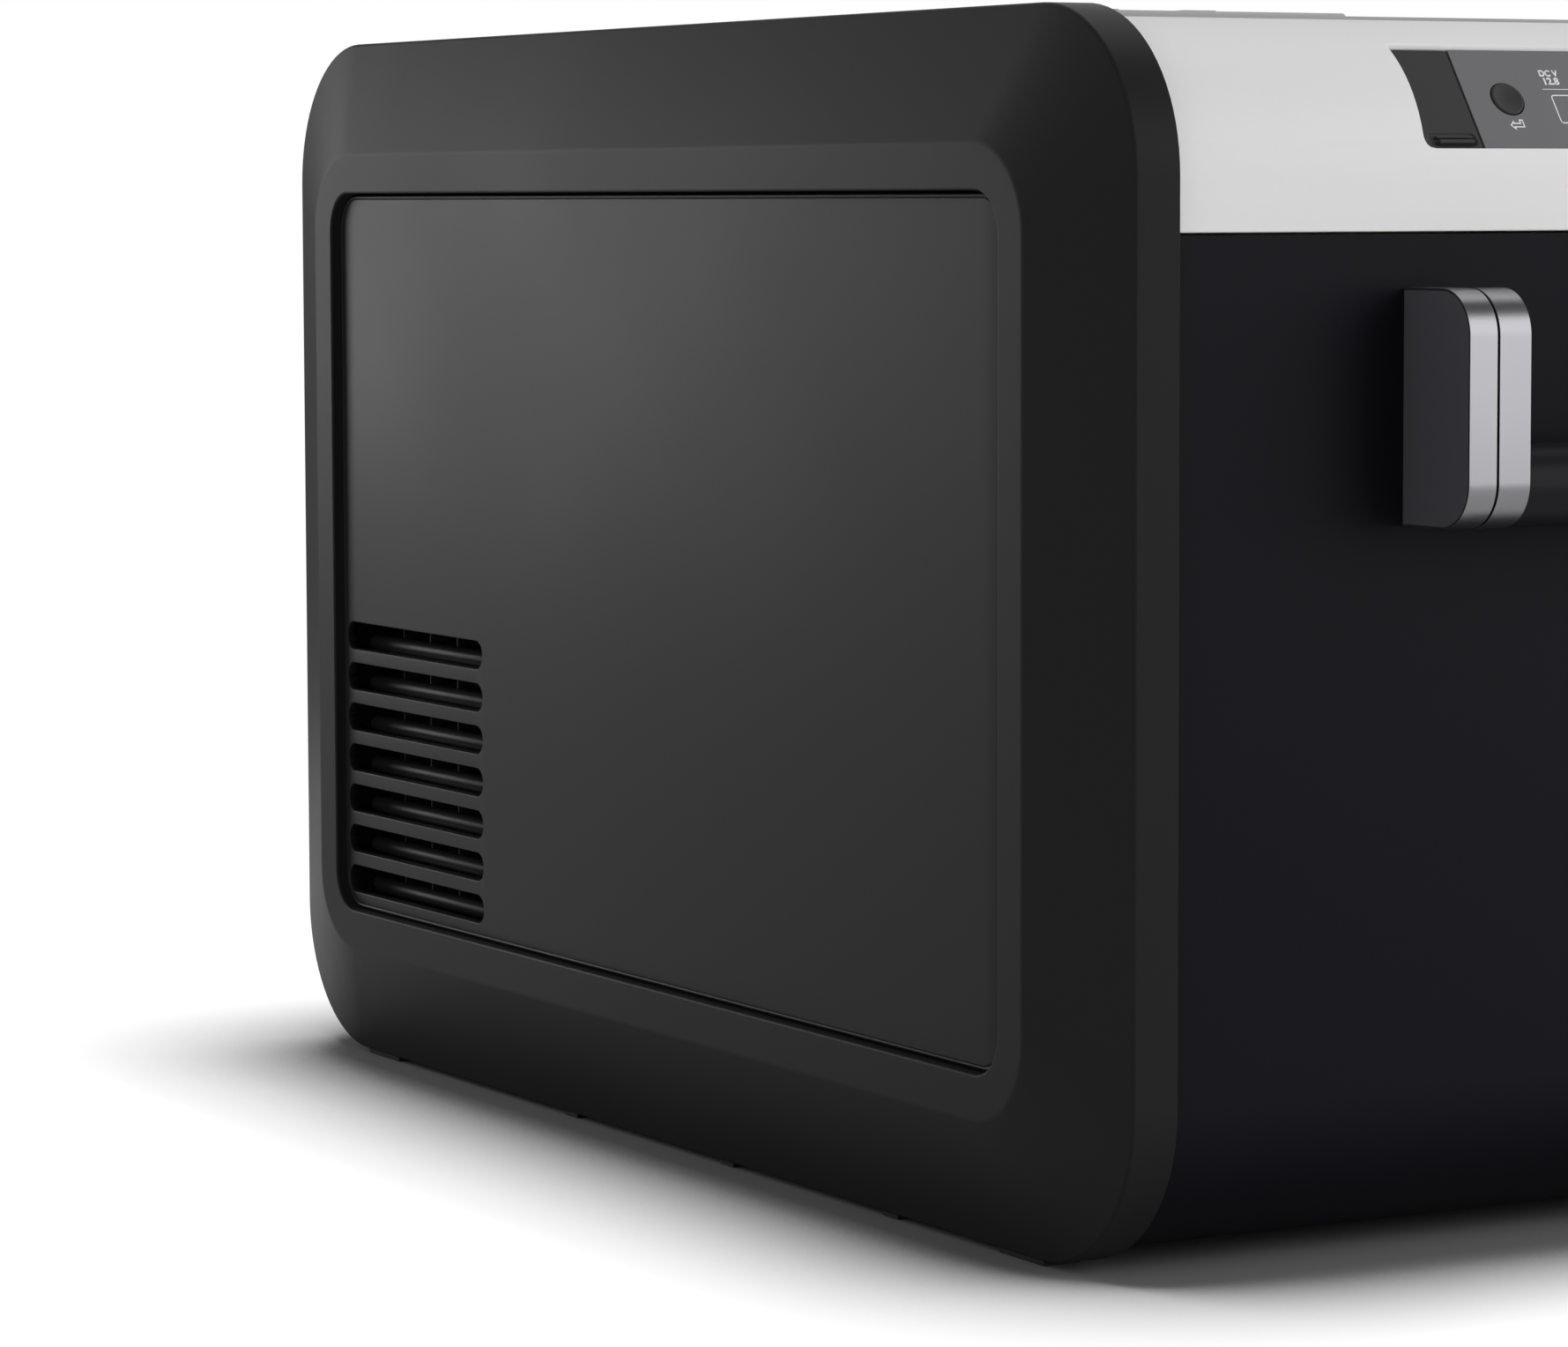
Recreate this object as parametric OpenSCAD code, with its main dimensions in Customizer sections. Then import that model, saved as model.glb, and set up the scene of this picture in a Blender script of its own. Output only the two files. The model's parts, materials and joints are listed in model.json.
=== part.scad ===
// Compressor cooler fridge: a foamed box with a stepped vat, a hinged lid, two moulded side frames,
// swing handles at both ends, a display at the front end and a compressor at the rear end.
// Millimetres. +X is the display end, +Z is up, and the origin is the middle of the footprint.

/* [Overall] */
// Length over the rims of the side frames
body_l = 628; // [600:1:680]
// Width over the raised faces of the side frames
body_w = 398; // [386:1:430]
// Height from the floor to the top of the side frames
body_h = 404; // [398:1:436]
// Height of the foot pads
foot_h = 2; // [1.5:0.5:4]
// Wall of the plastic mouldings and of the casing
wall = 3; // [2.4:0.1:3.6]

/* [Side frames] */
// Corner radius of the rim
frame_r = 55; // [48:1:62]
// Width of the straight rim
rim_w = 16.6; // [14:0.1:19]
// How far the raised face stands out from the rim
frame_rise = 14.1; // [11:0.1:17]
// How far the raised face lies inside the rim's outline
face_inset = 44; // [38:1:50]
// Corner radius of the raised face
face_r = 36; // [28:1:44]
// Width of the raised face around the panel opening
face_w = 15; // [12:1:20]
// Corner radius of the panel opening
panel_r = 15; // [10:1:20]
// How deep the side panel lies below the raised face
panel_set = 5.5; // [4.5:0.1:7]
// Thickness of the side panel
panel_t = 3; // [2.4:0.1:3.6]
// Gap between the side panel and its opening
panel_gap = 1; // [0.6:0.1:1.6]
// Width of the ledge that carries the side panel
ledge_w = 7; // [5:0.5:9]

/* [Side vents] */
// Number of slots in a side panel
vent_count = 7; // [5:1:8]
// Length of a slot
vent_l = 120; // [90:1:124]
// Height of a slot
vent_h = 10.7; // [8:0.1:11.5]
// Distance from one slot to the next
vent_pitch = 16.2; // [15:0.1:17]
// Distance from the panel's edge to the slots' rear ends
vent_edge = 3; // [2:0.5:5]
// Distance from the panel's lower edge to the lowest slot
vent_foot = 3; // [2:0.5:8]
// Depth of the louvres' front edges behind the panel's face
louvre_set = 12; // [9:0.5:14]
// Thickness of a louvre's front edge
louvre_t = 4.6; // [4:0.1:5.4]
// Number of upright ribs between the louvres
rib_count = 4; // [2:1:6]

/* [Casing] */
// How far the end faces lie inside the side frames' rims
end_inset = 3.3; // [2:0.1:5]
// Radius of the casing's lower corners and of the collars' crowns
casing_r = 52; // [48:1:54]
// Height of the casing's underside above the rims
belly_lift = 3; // [2:0.5:5]
// Height of the light collar below the side frames' tops
collar_h = 72.5; // [68:0.5:78]
// How far a collar's crown lies below the side frames' tops
crown_drop = 4; // [3:0.5:6]
// Shadow gap between collar and casing
collar_gap = 0.8; // [0.5:0.1:1.5]
// Length of a collar along the top
collar_l = 48.2; // [46:0.1:52]

/* [Vat] */
// Foam between the casing and the vat at the sides
side_foam = 32; // [30:0.5:38]
// Foam between the casing and the vat at the ends
end_foam = 55; // [54:0.5:60]
// Foam under the vat
floor_foam = 44; // [38:1:50]
// Wall of the vat
liner_t = 2; // [1.6:0.1:2.6]
// Radius of the vat's upright corners
vat_r = 20; // [16:1:26]
// Foam around the compressor room
room_foam = 22; // [18:0.5:26]
// Length of the compressor room
room_l = 172; // [168:1:178]
// Height of the compressor room
room_h = 194; // [190:1:200]
// Depth of the deck around the vat's mouth below the side frames' tops
deck_drop = 41; // [39:0.5:44]
// Thickness of the deck
deck_t = 3; // [2.5:0.1:4]

/* [Lid] */
// How far the lid's top lies below the side frames' tops
lid_drop = 2; // [1.5:0.1:3]
// Gap between the lid and the collars
lid_gap = 1.2; // [0.8:0.1:2]
// Gap between the lid and the side frames
lid_side_gap = 3.8; // [3.4:0.1:4.5]
// Radius of the lid's edges
lid_r = 3; // [2.5:0.1:4]
// Width of the shallow trough along the lid's middle
trough_w = 140; // [100:1:180]
// Depth of that trough
trough_d = 1; // [0.6:0.1:1.5]
// Depth of the lid's inner plug below the deck
plug_d = 16; // [12:1:20]
// Gap between the plug and the vat's mouth
plug_gap = 5; // [4.5:0.1:8]
// Thickness of the lid's gasket
gasket_t = 2.7; // [2.2:0.1:3]
// Gap between the closed gasket and the deck
gasket_gap = 0.3; // [0.3:0.05:0.5]
// Distance of the hinge axis from the lid's rear edge
hinge_in = 6.5; // [6:0.1:7]
// Depth of the hinge axis below the lid's top
hinge_drop = 8; // [7.5:0.1:8.5]
// Radius of a hinge pin
hinge_pin_r = 2; // [1.5:0.1:2.2]
// Distance from the middle of the lid to each hinge
hinge_x = 150; // [110:1:190]

/* [Latch] */
// Width of the latch lever
latch_w = 90; // [70:1:110]
// Length of the latch lever across the lid
latch_l = 34; // [30:1:40]
// Thickness of the latch lever
latch_t = 6; // [5:0.1:7]

/* [Handles] */
// How far a handle stands out from the end face
handle_d = 35.8; // [34:0.1:40]
// Height of a handle bracket
handle_h = 76; // [70:1:84]
// Drop from the side frames' tops to the brackets' upper edges
handle_drop = 90.2; // [86:0.1:110]
// Radius of the brackets' and arms' corners
handle_r = 15; // [13:0.5:16]
// Distance between the brackets' outer cheeks
handle_w = 163.4; // [150:0.2:200]
// Width of a bracket
bracket_w = 10.5; // [9:0.1:13]
// Gap between a bracket and its arm
arm_gap = 1; // [0.6:0.1:1.5]
// Width of an arm
arm_w = 12; // [10:0.1:14]
// Diameter of the grip
grip_d = 26.5; // [24:0.5:28]
// Radius of a handle's pivot pin
pivot_r = 5; // [4:0.1:6]

/* [Display] */
// Width of the display recess
disp_w = 146; // [130:1:160]
// Height of the display face along its slope
disp_h = 39; // [36:0.5:40]
// How far the display face leans back
disp_tilt = 34; // [32:0.5:36]
// Height of the display's lower edge below the side frames' tops
disp_drop = 46; // [45:0.5:47]
// How deep the display face lies in its recess
disp_set = 1; // [0.6:0.1:1.6]
// Width of the flap over the charging socket
flap_w = 24; // [20:0.5:28]
// Diameter of a button
button_d = 12; // [10:0.2:14]
// Travel of a button
button_travel = 0.8; // [0.5:0.1:1.2]

/* [Fan] */
// Width of the fan's frame
fan_size = 120; // [110:1:122]
// Depth of the fan's frame
fan_depth = 25; // [20:1:28]
// Number of blades
blade_count = 7; // [5:1:9]

/* [Hidden] */
$fn = 64;
eps = 0.01;
// Running clearance of a pin in its hole, and the sliding clearance of moving pieces
run = 0.06;
slack = 0.4;

half_l = body_l / 2;
half_w = body_w / 2;
rim_y = half_w - frame_rise;
base_y = rim_y - rim_w;
frame_colour = "#2b2b2c";
casing_colour = "#212127";
collar_colour = "#dcdcdc";
metal_colour = "#b8b8bc";
dark_colour = "#303033";

// The raised face and the panel opening, as distances inside the rim's outline
open_inset = face_inset + face_w;
panel_y = -half_w + panel_set;
panel_x = half_l - open_inset - panel_gap;
panel_z = foot_h + open_inset + panel_gap;

// Slots: their rear end, their lowest centre line and the middle of the whole group
vent_x0 = -panel_x + vent_edge;
vent_z0 = panel_z + vent_foot + vent_h / 2;
vent_mid = vent_z0 + (vent_count - 1) * vent_pitch / 2;
vent_back_y = panel_y + louvre_set + 7;
vent_margin = 4;
vent_box_t = 1.5;

// Casing
end_x = half_l - end_inset;
belly_z = foot_h + belly_lift;
collar_z = body_h - collar_h;
crown_z = body_h - crown_drop;
pocket_x = end_x - collar_l;
casing_top = collar_z - collar_gap;
deck_z = body_h - deck_drop;
side_y = base_y - wall;

// Vat and compressor room
vat_y = side_y - side_foam;
vat_x = end_x - wall - end_foam;
vat_floor = belly_z + wall + floor_foam;
room_x = -end_x + wall + room_l;
room_top = belly_z + wall + room_h;
step_x = room_x + room_foam + liner_t;
shelf_z = room_top + room_foam + liner_t;
room_floor = belly_z + wall;

// Lid
lid_top = body_h - lid_drop;
lid_x = pocket_x - lid_gap;
lid_y = base_y - lid_side_gap;
lid_plate_t = 3;
lid_plate_z = deck_z + gasket_gap + gasket_t;
lid_skirt_z = lid_plate_z + lid_plate_t;
hinge_y = lid_y - hinge_in;
hinge_z = lid_top - hinge_drop;
knuckle_r = 4.2;
knuckle_w = 14;
leaf_w = 9;
notch_w = knuckle_w + 2 * leaf_w + 3;
notch_d = 13;

// Latch: its pivot and the pocket in the lid
latch_y = -lid_y + 8;
latch_z = lid_top - latch_t + 1;
latch_r = 3;
latch_pin_r = 1.6;
latch_end = latch_y + latch_l;
hook_w = 40;
hook_t = 4;
hook_z = deck_z + 12;
hook_swing = 18;
scoop_l = 26;
scoop_d = 14;

// Handles
handle_z = body_h - handle_drop - handle_h;
pivot_x = end_x + handle_d - handle_r;
pivot_z = handle_z + handle_h - handle_r;
grip_z = handle_z + grip_d / 2;
arm_y = handle_w / 2 - bracket_w - arm_gap;
cheek_t = 1.2;
cheek_edge = 0.8;
spigot_r = 8;
spigot_l = 14;
arm_skin = 3;

// Display: the crown's centre, and where the recess starts on it
crown_x = end_x - casing_r;
disp_z = body_h - disp_drop;
disp_x = crown_x + sqrt(pow(casing_r, 2) - pow(disp_z - (crown_z - casing_r), 2));
overlay_t = 1.6;
housing_t = 10;
flap_y = -disp_w / 2;
flap_t = 2;
button_y = -32.5;
button_v = 19.7;

// Fan
fan_x = room_x - fan_size / 2 - 4;
fan_y = -115;
condenser_t = 28;

// Rounded rectangle from one corner to the other
module rounded_rect(x0, y0, x1, y1, r) {
    translate([x0 + r, y0]) square([x1 - x0 - 2 * r, y1 - y0]);
    translate([x0, y0 + r]) square([x1 - x0, y1 - y0 - 2 * r]);
    for (x = [x0 + r, x1 - r]) {
        for (y = [y0 + r, y1 - r]) translate([x, y]) circle(r);
    }
}

// An outline in X and Z, drawn out from y0 to y1
module across(y0, y1) {
    translate([0, y1, 0]) rotate([90, 0, 0]) linear_extrude(y1 - y0) children();
}

// An outline in Y and Z, drawn out from x0 to x1
module along(x0, x1) {
    translate([x0, 0, 0]) rotate([90, 0, 90]) linear_extrude(x1 - x0) children();
}

// A box between two corners
module block(a, b) {
    translate(a) cube(b - a);
}

// A rod along Y or X, from its first end
module rod_y(x, y0, y1, z, r) {
    translate([x, y1, z]) rotate([90, 0, 0]) cylinder(h = y1 - y0, r = r);
}
module rod_x(x0, x1, y, z, r) {
    translate([x0, y, z]) rotate([0, 90, 0]) cylinder(h = x1 - x0, r = r);
}

// The same piece on the other side or at the other end
module right_side() {
    mirror([0, 1, 0]) children();
}
module rear_end() {
    mirror([1, 0, 0]) children();
}

// Outline of the side frame, a distance inside its rim
module frame_outline(inset, r) {
    rounded_rect(-half_l + inset, foot_h + inset, half_l - inset, body_h - inset, r);
}

module frame_form(skin) {
    across(-rim_y, -base_y) frame_outline(skin, frame_r - skin);
    hull() {
        across(-rim_y, -rim_y + eps) frame_outline(skin, frame_r - skin, $fn = 48);
        across(-half_w + skin, -half_w + skin + eps)
            frame_outline(face_inset + skin, face_r - skin, $fn = 48);
    }
}

// Side frame: a raised moulding round the panel, with screw bosses and a web that closes it to the lid
module side_frame() {
    ledge_y = panel_y + panel_t;
    color(frame_colour) difference() {
        frame_form(0);
        difference() {
            translate([0, eps, 0]) frame_form(wall);
            across(-half_w, -base_y) frame_outline(open_inset - wall, panel_r + wall);
            for (x = [-1, 1]) {
                for (z = [foot_h + open_inset - wall, body_h - open_inset + wall]) {
                    rod_y(x * half_l / 2, -rim_y, -base_y, z, 6);
                }
            }
            block([-pocket_x, -base_y - wall, body_h - open_inset], [pocket_x, -base_y + 1, body_h]);
        }
        across(-half_w - 1, ledge_y) frame_outline(open_inset, panel_r);
        across(ledge_y - eps, ledge_y + wall) frame_outline(open_inset + ledge_w, panel_r - ledge_w / 2);
        across(ledge_y + wall - eps, -base_y + 1) frame_outline(open_inset, panel_r);
        across(ledge_y - eps, ledge_y + wall + eps) intersection() {
            vent_window(vent_margin);
            frame_outline(open_inset, panel_r);
        }
    }
}

module slot_outline(r) {
    translate([vent_x0 + r, -r]) square([vent_l - 2 * r, 2 * r]);
    for (x = [vent_x0 + r, vent_x0 + vent_l - r]) translate([x, 0]) circle(r);
}

// Outline around all the slots, grown by a margin
module vent_window(margin) {
    translate([vent_x0 - margin, vent_z0 - vent_h / 2 - margin])
        square([vent_l + 2 * margin, (vent_count - 1) * vent_pitch + vent_h + 2 * margin]);
}

// Outline of the louvre box, a distance inside its skin: the slots' window with the panel's corner
module louvre_outline(inset) {
    intersection() {
        vent_window(vent_box_t - inset);
        frame_outline(open_inset + panel_gap + inset, panel_r - panel_gap - inset);
    }
}

// Louvres behind the slots: a box with rounded blades that slope back and up, tied by upright ribs
module louvres() {
    blade_t = 2;
    rib_t = 1;
    slope = 25;
    front_y = panel_y + louvre_set;
    drop = 3;
    blade_l = vent_l + 2 * vent_box_t;
    rib_h = vent_mid + vent_count * vent_pitch;
    across(panel_y + panel_t, vent_back_y) difference() {
        louvre_outline(0);
        louvre_outline(vent_box_t);
    }
    intersection() {
        across(panel_y, vent_back_y) louvre_outline(vent_box_t / 2);
        union() {
            for (i = [0 : vent_count - 1]) {
                translate([vent_x0 - vent_box_t, front_y, vent_z0 + i * vent_pitch - drop]) {
                    rod_x(0, blade_l, 0, 0, louvre_t / 2);
                    rotate([slope, 0, 0]) translate([0, 0, -blade_t / 2])
                        cube([blade_l, vent_back_y - front_y, blade_t]);
                }
            }
            for (k = [1 : rib_count]) {
                x = vent_x0 + k * vent_l / (rib_count + 1);
                block([x, front_y, foot_h], [x + rib_t, vent_back_y - 0.5, rib_h]);
            }
        }
    }
}

// Side panel: a plate with slots, and the louvres behind them
module side_panel() {
    back_y = panel_y + panel_t;
    color(frame_colour) {
        difference() {
            across(panel_y, back_y) frame_outline(open_inset + panel_gap, panel_r - panel_gap);
            for (i = [0 : vent_count - 1]) {
                translate([0, 0, vent_z0 + i * vent_pitch])
                    across(panel_y - 1, back_y + 1) slot_outline(vent_h / 2);
            }
        }
        louvres();
    }
}

// Outline of the casing's ends and underside, a distance inside its skin
module casing_outline(inset) {
    rounded_rect(-end_x + inset, belly_z + inset, end_x - inset, body_h + casing_r, casing_r - inset);
}

module below(z) {
    translate([-body_l, -body_h]) square([2 * body_l, body_h + z]);
}

module outer_casing() {
    color(casing_colour) difference() {
        across(-base_y, base_y) intersection() {
            difference() {
                casing_outline(0);
                casing_outline(wall);
            }
            below(casing_top);
        }
        rod_x(end_x - wall - 1, end_x + 1, drain_y, drain_z, drain_r);
        for (y = [ac_y, dc_y]) {
            block([-end_x - 1, y - inlet_w / 2, inlet_z - inlet_h / 2],
                  [-end_x + wall + 1, y + inlet_w / 2, inlet_z + inlet_h / 2]);
        }
    }
}

// Side wall of the casing, with a window behind the slots
module casing_side() {
    color(casing_colour) across(-base_y, -side_y) difference() {
        union() {
            intersection() {
                casing_outline(wall);
                below(casing_top);
            }
            translate([-pocket_x, casing_top - 1]) square([2 * pocket_x, deck_z - deck_t - casing_top + 1]);
        }
        vent_window(vent_margin);
    }
}

// Collar: a quarter-round skin over the end, closed towards the lid by an upright wall
module collar_form() {
    across(-base_y, base_y) difference() {
        intersection() {
            rounded_rect(-end_x, belly_z, end_x, crown_z, casing_r);
            translate([pocket_x, collar_z]) square([collar_l, body_h]);
        }
        intersection() {
            rounded_rect(-end_x, belly_z, end_x - wall, crown_z - wall, casing_r - wall);
            translate([pocket_x + wall, collar_z - 1]) square([collar_l, body_h]);
        }
    }
}

// The display's own frame: X out of the face, Y along it and Z up its slope
module on_display() {
    translate([disp_x, 0, disp_z]) rotate([0, -disp_tilt, 0]) children();
}

module recess_outline(inset) {
    r = 4 - inset;
    translate([-disp_w / 2 + inset, inset + r]) square([disp_w - 2 * inset, disp_h - 2 * inset - r]);
    translate([-disp_w / 2 + inset + r, inset]) square([disp_w - 2 * inset - 2 * r, 2 * r]);
    for (s = [-1, 1]) translate([s * (disp_w / 2 - inset - r), inset + r]) circle(r);
}

module front_collar() {
    bevel = 5;
    color(collar_colour) difference() {
        collar_form();
        on_display() {
            along(-housing_t, housing_t) recess_outline(0);
            across(-disp_w / 2, disp_w / 2) polygon([
                [-disp_set, disp_h - 1], [-disp_set, disp_h], [bevel, disp_h + bevel], [bevel, disp_h - 1]
            ]);
        }
    }
}

module rear_collar() {
    color(collar_colour) rear_end() collar_form();
}

// Tray behind the display face, with wells for the buttons, the screen and the charging socket
module display_housing() {
    well = button_travel + 1.2;
    back = -disp_set - overlay_t;
    color(dark_colour) on_display() difference() {
        along(-housing_t, back) recess_outline(0);
        for (s = [-1, 1]) rod_x(back - well, housing_t, s * button_y, button_v, button_d / 2 + slack);
        block([back - screen_t, screen_y0, screen_v0], [housing_t, screen_y1, screen_v1]);
        block([-disp_set - flap_t - slack, -disp_w / 2 - 1, -1], [housing_t, flap_y + flap_w, disp_h + 1]);
        block([-housing_t - 1, usb_y - usb_w / 2, usb_v - usb_h / 2],
              [housing_t, usb_y + usb_w / 2, usb_v + usb_h / 2]);
    }
}

screen_t = 2.5;
screen_y0 = -18;
screen_y1 = 18;
screen_v0 = 6;
screen_v1 = 36;
usb_y = flap_y + flap_w / 2;
usb_v = 19;
usb_w = 18;
usb_h = 15;

module display_overlay() {
    color("#6e6e70") on_display() difference() {
        along(-disp_set - overlay_t, -disp_set) intersection() {
            recess_outline(0.2);
            translate([flap_y + flap_w + 0.3, 0]) square([disp_w, disp_h]);
        }
        for (s = [-1, 1]) rod_x(-housing_t, housing_t, s * button_y, button_v, button_d / 2 + slack);
    }
}

module display_screen() {
    t = disp_set + overlay_t;
    color("#3c3c40") on_display() block([-t - screen_t, screen_y0, screen_v0], [-t, screen_y1, screen_v1]);
}

// Round button with a dished face
module button(y) {
    dish_r = 24;
    color("#3a3a3c") on_display() difference() {
        rod_x(-disp_set - overlay_t - 1, -disp_set + 0.5, y, button_v, button_d / 2);
        translate([dish_r - disp_set - 0.2, y, button_v]) sphere(dish_r, $fn = 128);
    }
}

module power_button() {
    button(button_y);
}
module menu_button() {
    button(-button_y);
}

module usb_socket() {
    mouth_w = 13.5;
    mouth_h = 5.7;
    rim = 2;
    back = -housing_t - 11;
    color(metal_colour) on_display() difference() {
        block([back, usb_y - usb_w / 2 - rim, usb_v - usb_h / 2 - rim],
              [-housing_t, usb_y + usb_w / 2 + rim, usb_v + usb_h / 2 + rim]);
        block([back + rim, usb_y - mouth_w / 2, usb_v - mouth_h / 2],
              [0, usb_y + mouth_w / 2, usb_v + mouth_h / 2]);
    }
}

// Rubber flap over the charging socket: it lifts about its round top edge, with a pull tab at its foot
module usb_cover() {
    tab_w = 18;
    seam = 0.2;
    hinge_v = disp_h - slack - flap_t / 2;
    color("#3e3e40") on_display() {
        difference() {
            along(-disp_set - flap_t, -disp_set) intersection() {
                recess_outline(slack);
                translate([flap_y, 0]) square([flap_w - seam, hinge_v]);
            }
            along(-disp_set - flap_t - 1, -disp_set + 1)
                translate([usb_y - tab_w / 2, -1]) square([tab_w, 3.2]);
        }
        rod_y(-disp_set - flap_t / 2, flap_y + slack, flap_y + flap_w - seam, hinge_v, flap_t / 2);
        along(-disp_set - flap_t, -disp_set - 0.6)
            translate([usb_y - tab_w / 2 + 1, slack + seam]) square([tab_w - 2, 3]);
        along(-disp_set - 1, -disp_set + 1.2)
            translate([usb_y - tab_w / 2 + 1, 2.2]) square([tab_w - 2, 1.4]);
    }
}

// Ring that carries the lid's gasket around the vat's mouth
module top_deck() {
    color("#c9c9cb") difference() {
        block([-pocket_x, -base_y, deck_z - deck_t], [pocket_x, base_y, deck_z]);
        translate([0, 0, deck_z - deck_t - 1]) linear_extrude(deck_t + 2)
            rounded_rect(-vat_x - liner_t, -vat_y - liner_t, vat_x + liner_t, vat_y + liner_t,
                         vat_r + liner_t);
    }
}

// Stepped hollow of the vat, grown by a wall
module vat_form(grow, top) {
    translate([0, 0, vat_floor - grow]) linear_extrude(top - vat_floor + grow)
        rounded_rect(step_x - grow, -vat_y - grow, vat_x + grow, vat_y + grow, vat_r + grow);
    translate([0, 0, shelf_z - grow]) linear_extrude(top - shelf_z + grow)
        rounded_rect(-vat_x - grow, -vat_y - grow, vat_x + grow, vat_y + grow, vat_r + grow);
}

module inner_liner() {
    color("#ececee") difference() {
        vat_form(liner_t, deck_z);
        vat_form(0, deck_z + 1);
        rod_x(vat_x - 1, vat_x + liner_t + 1, drain_y, drain_z, drain_r - 3);
    }
}

// Bonded evaporator sheet around the lower vat
evap_t = 1.5;
evap_z0 = vat_floor + 35;
evap_z1 = room_top - 10;
module evaporator_ring(inner) {
    translate([0, 0, evap_z0]) linear_extrude(evap_z1 - evap_z0) difference() {
        grow = inner + evap_t;
        rounded_rect(step_x - grow, -vat_y - grow, vat_x + grow, vat_y + grow, vat_r + grow);
        rounded_rect(step_x - inner, -vat_y - inner, vat_x + inner, vat_y + inner, vat_r + inner);
    }
}

module evaporator() {
    color(metal_colour) evaporator_ring(liner_t);
}

module body_insulation() {
    color("#e8dfb8") difference() {
        across(-side_y, side_y) union() {
            intersection() {
                casing_outline(wall);
                below(casing_top);
            }
            translate([-pocket_x, casing_top - 1]) square([2 * pocket_x, deck_z - deck_t - casing_top + 1]);
        }
        vat_form(liner_t, deck_z);
        evaporator_ring(liner_t);
        block([-body_l, -body_w, 0], [room_x, body_w, room_top]);
        rod_x(vat_x, end_x, drain_y, drain_z, drain_r);
    }
}

// Compressor room
compressor_r = 50;
compressor_x = room_x - compressor_r - 12;
compressor_y = 22;
mount_s = 38;
plate_t = 2;
grommet_h = 14;
grommet_r = 8;
stud_r = 3;
compressor_z = room_floor + plate_t + grommet_h;
pipe_r = 3;
port_r = pipe_r + 1.5;
port_l = 6;
port_in = 30;
port_top = 100;
tube_rows = 3;
tube_y = fan_y - 1 - condenser_t / 2;
tube_z = vent_mid - fan_size / tube_rows;

module compressor_base_plate() {
    plate_l = 2 * mount_s + 24;
    color("#4a4a4d") difference() {
        block([compressor_x - plate_l / 2, compressor_y - plate_l / 2, room_floor],
              [compressor_x + plate_l / 2, compressor_y + plate_l / 2, room_floor + plate_t]);
        for (x = [-mount_s, mount_s]) {
            for (y = [-mount_s, mount_s]) {
                translate([compressor_x + x, compressor_y + y, room_floor - 1])
                    cylinder(h = plate_t + 2, r = stud_r);
            }
        }
    }
}

module compressor_grommets() {
    color("#1c1c1c") for (x = [-mount_s, mount_s]) {
        for (y = [-mount_s, mount_s]) {
            translate([compressor_x + x, compressor_y + y, room_floor + plate_t])
                cylinder(h = grommet_h, r1 = grommet_r, r2 = grommet_r - 2);
        }
    }
}

module compressor() {
    shell_h = 70;
    dome_h = 24;
    color("#1f1f22") translate([compressor_x, compressor_y, compressor_z]) {
        translate([-mount_s - grommet_r, -mount_s - grommet_r, 0])
            cube([2 * (mount_s + grommet_r), 2 * (mount_s + grommet_r), 3]);
        cylinder(h = shell_h, r = compressor_r);
        translate([0, 0, shell_h]) rotate_extrude() intersection() {
            translate([compressor_r - dome_h, 0]) circle(dome_h);
            square([compressor_r, dome_h]);
        }
        translate([0, 0, shell_h]) cylinder(h = dome_h, r = compressor_r - dome_h);
        translate([0, 0, shell_h - 4]) cylinder(h = 6, r = compressor_r + 2);
        translate([-16, compressor_r - 4, 20]) cube([32, 20, 34]);
        translate([port_in, 0, shell_h]) cylinder(h = port_top - shell_h, r = port_r);
        rod_y(0, -compressor_r - port_l, -compressor_r + port_l, tube_z - compressor_z, port_r);
    }
}

suction_x = compressor_x + port_in;
module refrigerant_pipes() {
    pipe_z = room_top - 14;
    port_z = compressor_z + port_top;
    back_y = fan_y + fan_depth + 8;
    corner_x = drier_x - 2 * pipe_r;
    color("#b5703c") {
        // Suction: from the vat's foam down to the compressor
        rod_x(suction_x, room_x, compressor_y, pipe_z, pipe_r);
        translate([suction_x, compressor_y, pipe_z]) sphere(pipe_r);
        translate([suction_x, compressor_y, port_z]) cylinder(h = pipe_z - port_z, r = pipe_r);
        // Discharge: from the compressor's flank round the fan to the condenser's lowest tube
        rod_y(compressor_x, back_y, compressor_y - compressor_r - port_l, tube_z, pipe_r);
        translate([compressor_x, back_y, tube_z]) sphere(pipe_r);
        rod_x(corner_x, compressor_x, back_y, tube_z, pipe_r);
        translate([corner_x, back_y, tube_z]) sphere(pipe_r);
        rod_y(corner_x, tube_y, back_y, tube_z, pipe_r);
        translate([corner_x, tube_y, tube_z]) sphere(pipe_r);
        rod_x(corner_x, drier_x, tube_y, tube_z, pipe_r);
    }
}

drier_x = fan_x - fan_size / 2 - 14;
drier_r = 9;
drier_l = 30;
neck_l = 8;
module filter_drier() {
    color("#b5703c")
        translate([drier_x - drier_r + pipe_r, compressor_y - mount_s - 2, room_top - drier_l - 2 * neck_l]) {
        cylinder(h = drier_l, r = drier_r);
        translate([0, 0, drier_l]) cylinder(h = neck_l, r1 = drier_r, r2 = pipe_r);
        translate([0, 0, drier_l + neck_l]) cylinder(h = neck_l, r = pipe_r);
        translate([0, 0, -neck_l]) cylinder(h = neck_l, r1 = pipe_r, r2 = drier_r);
    }
}

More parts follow.
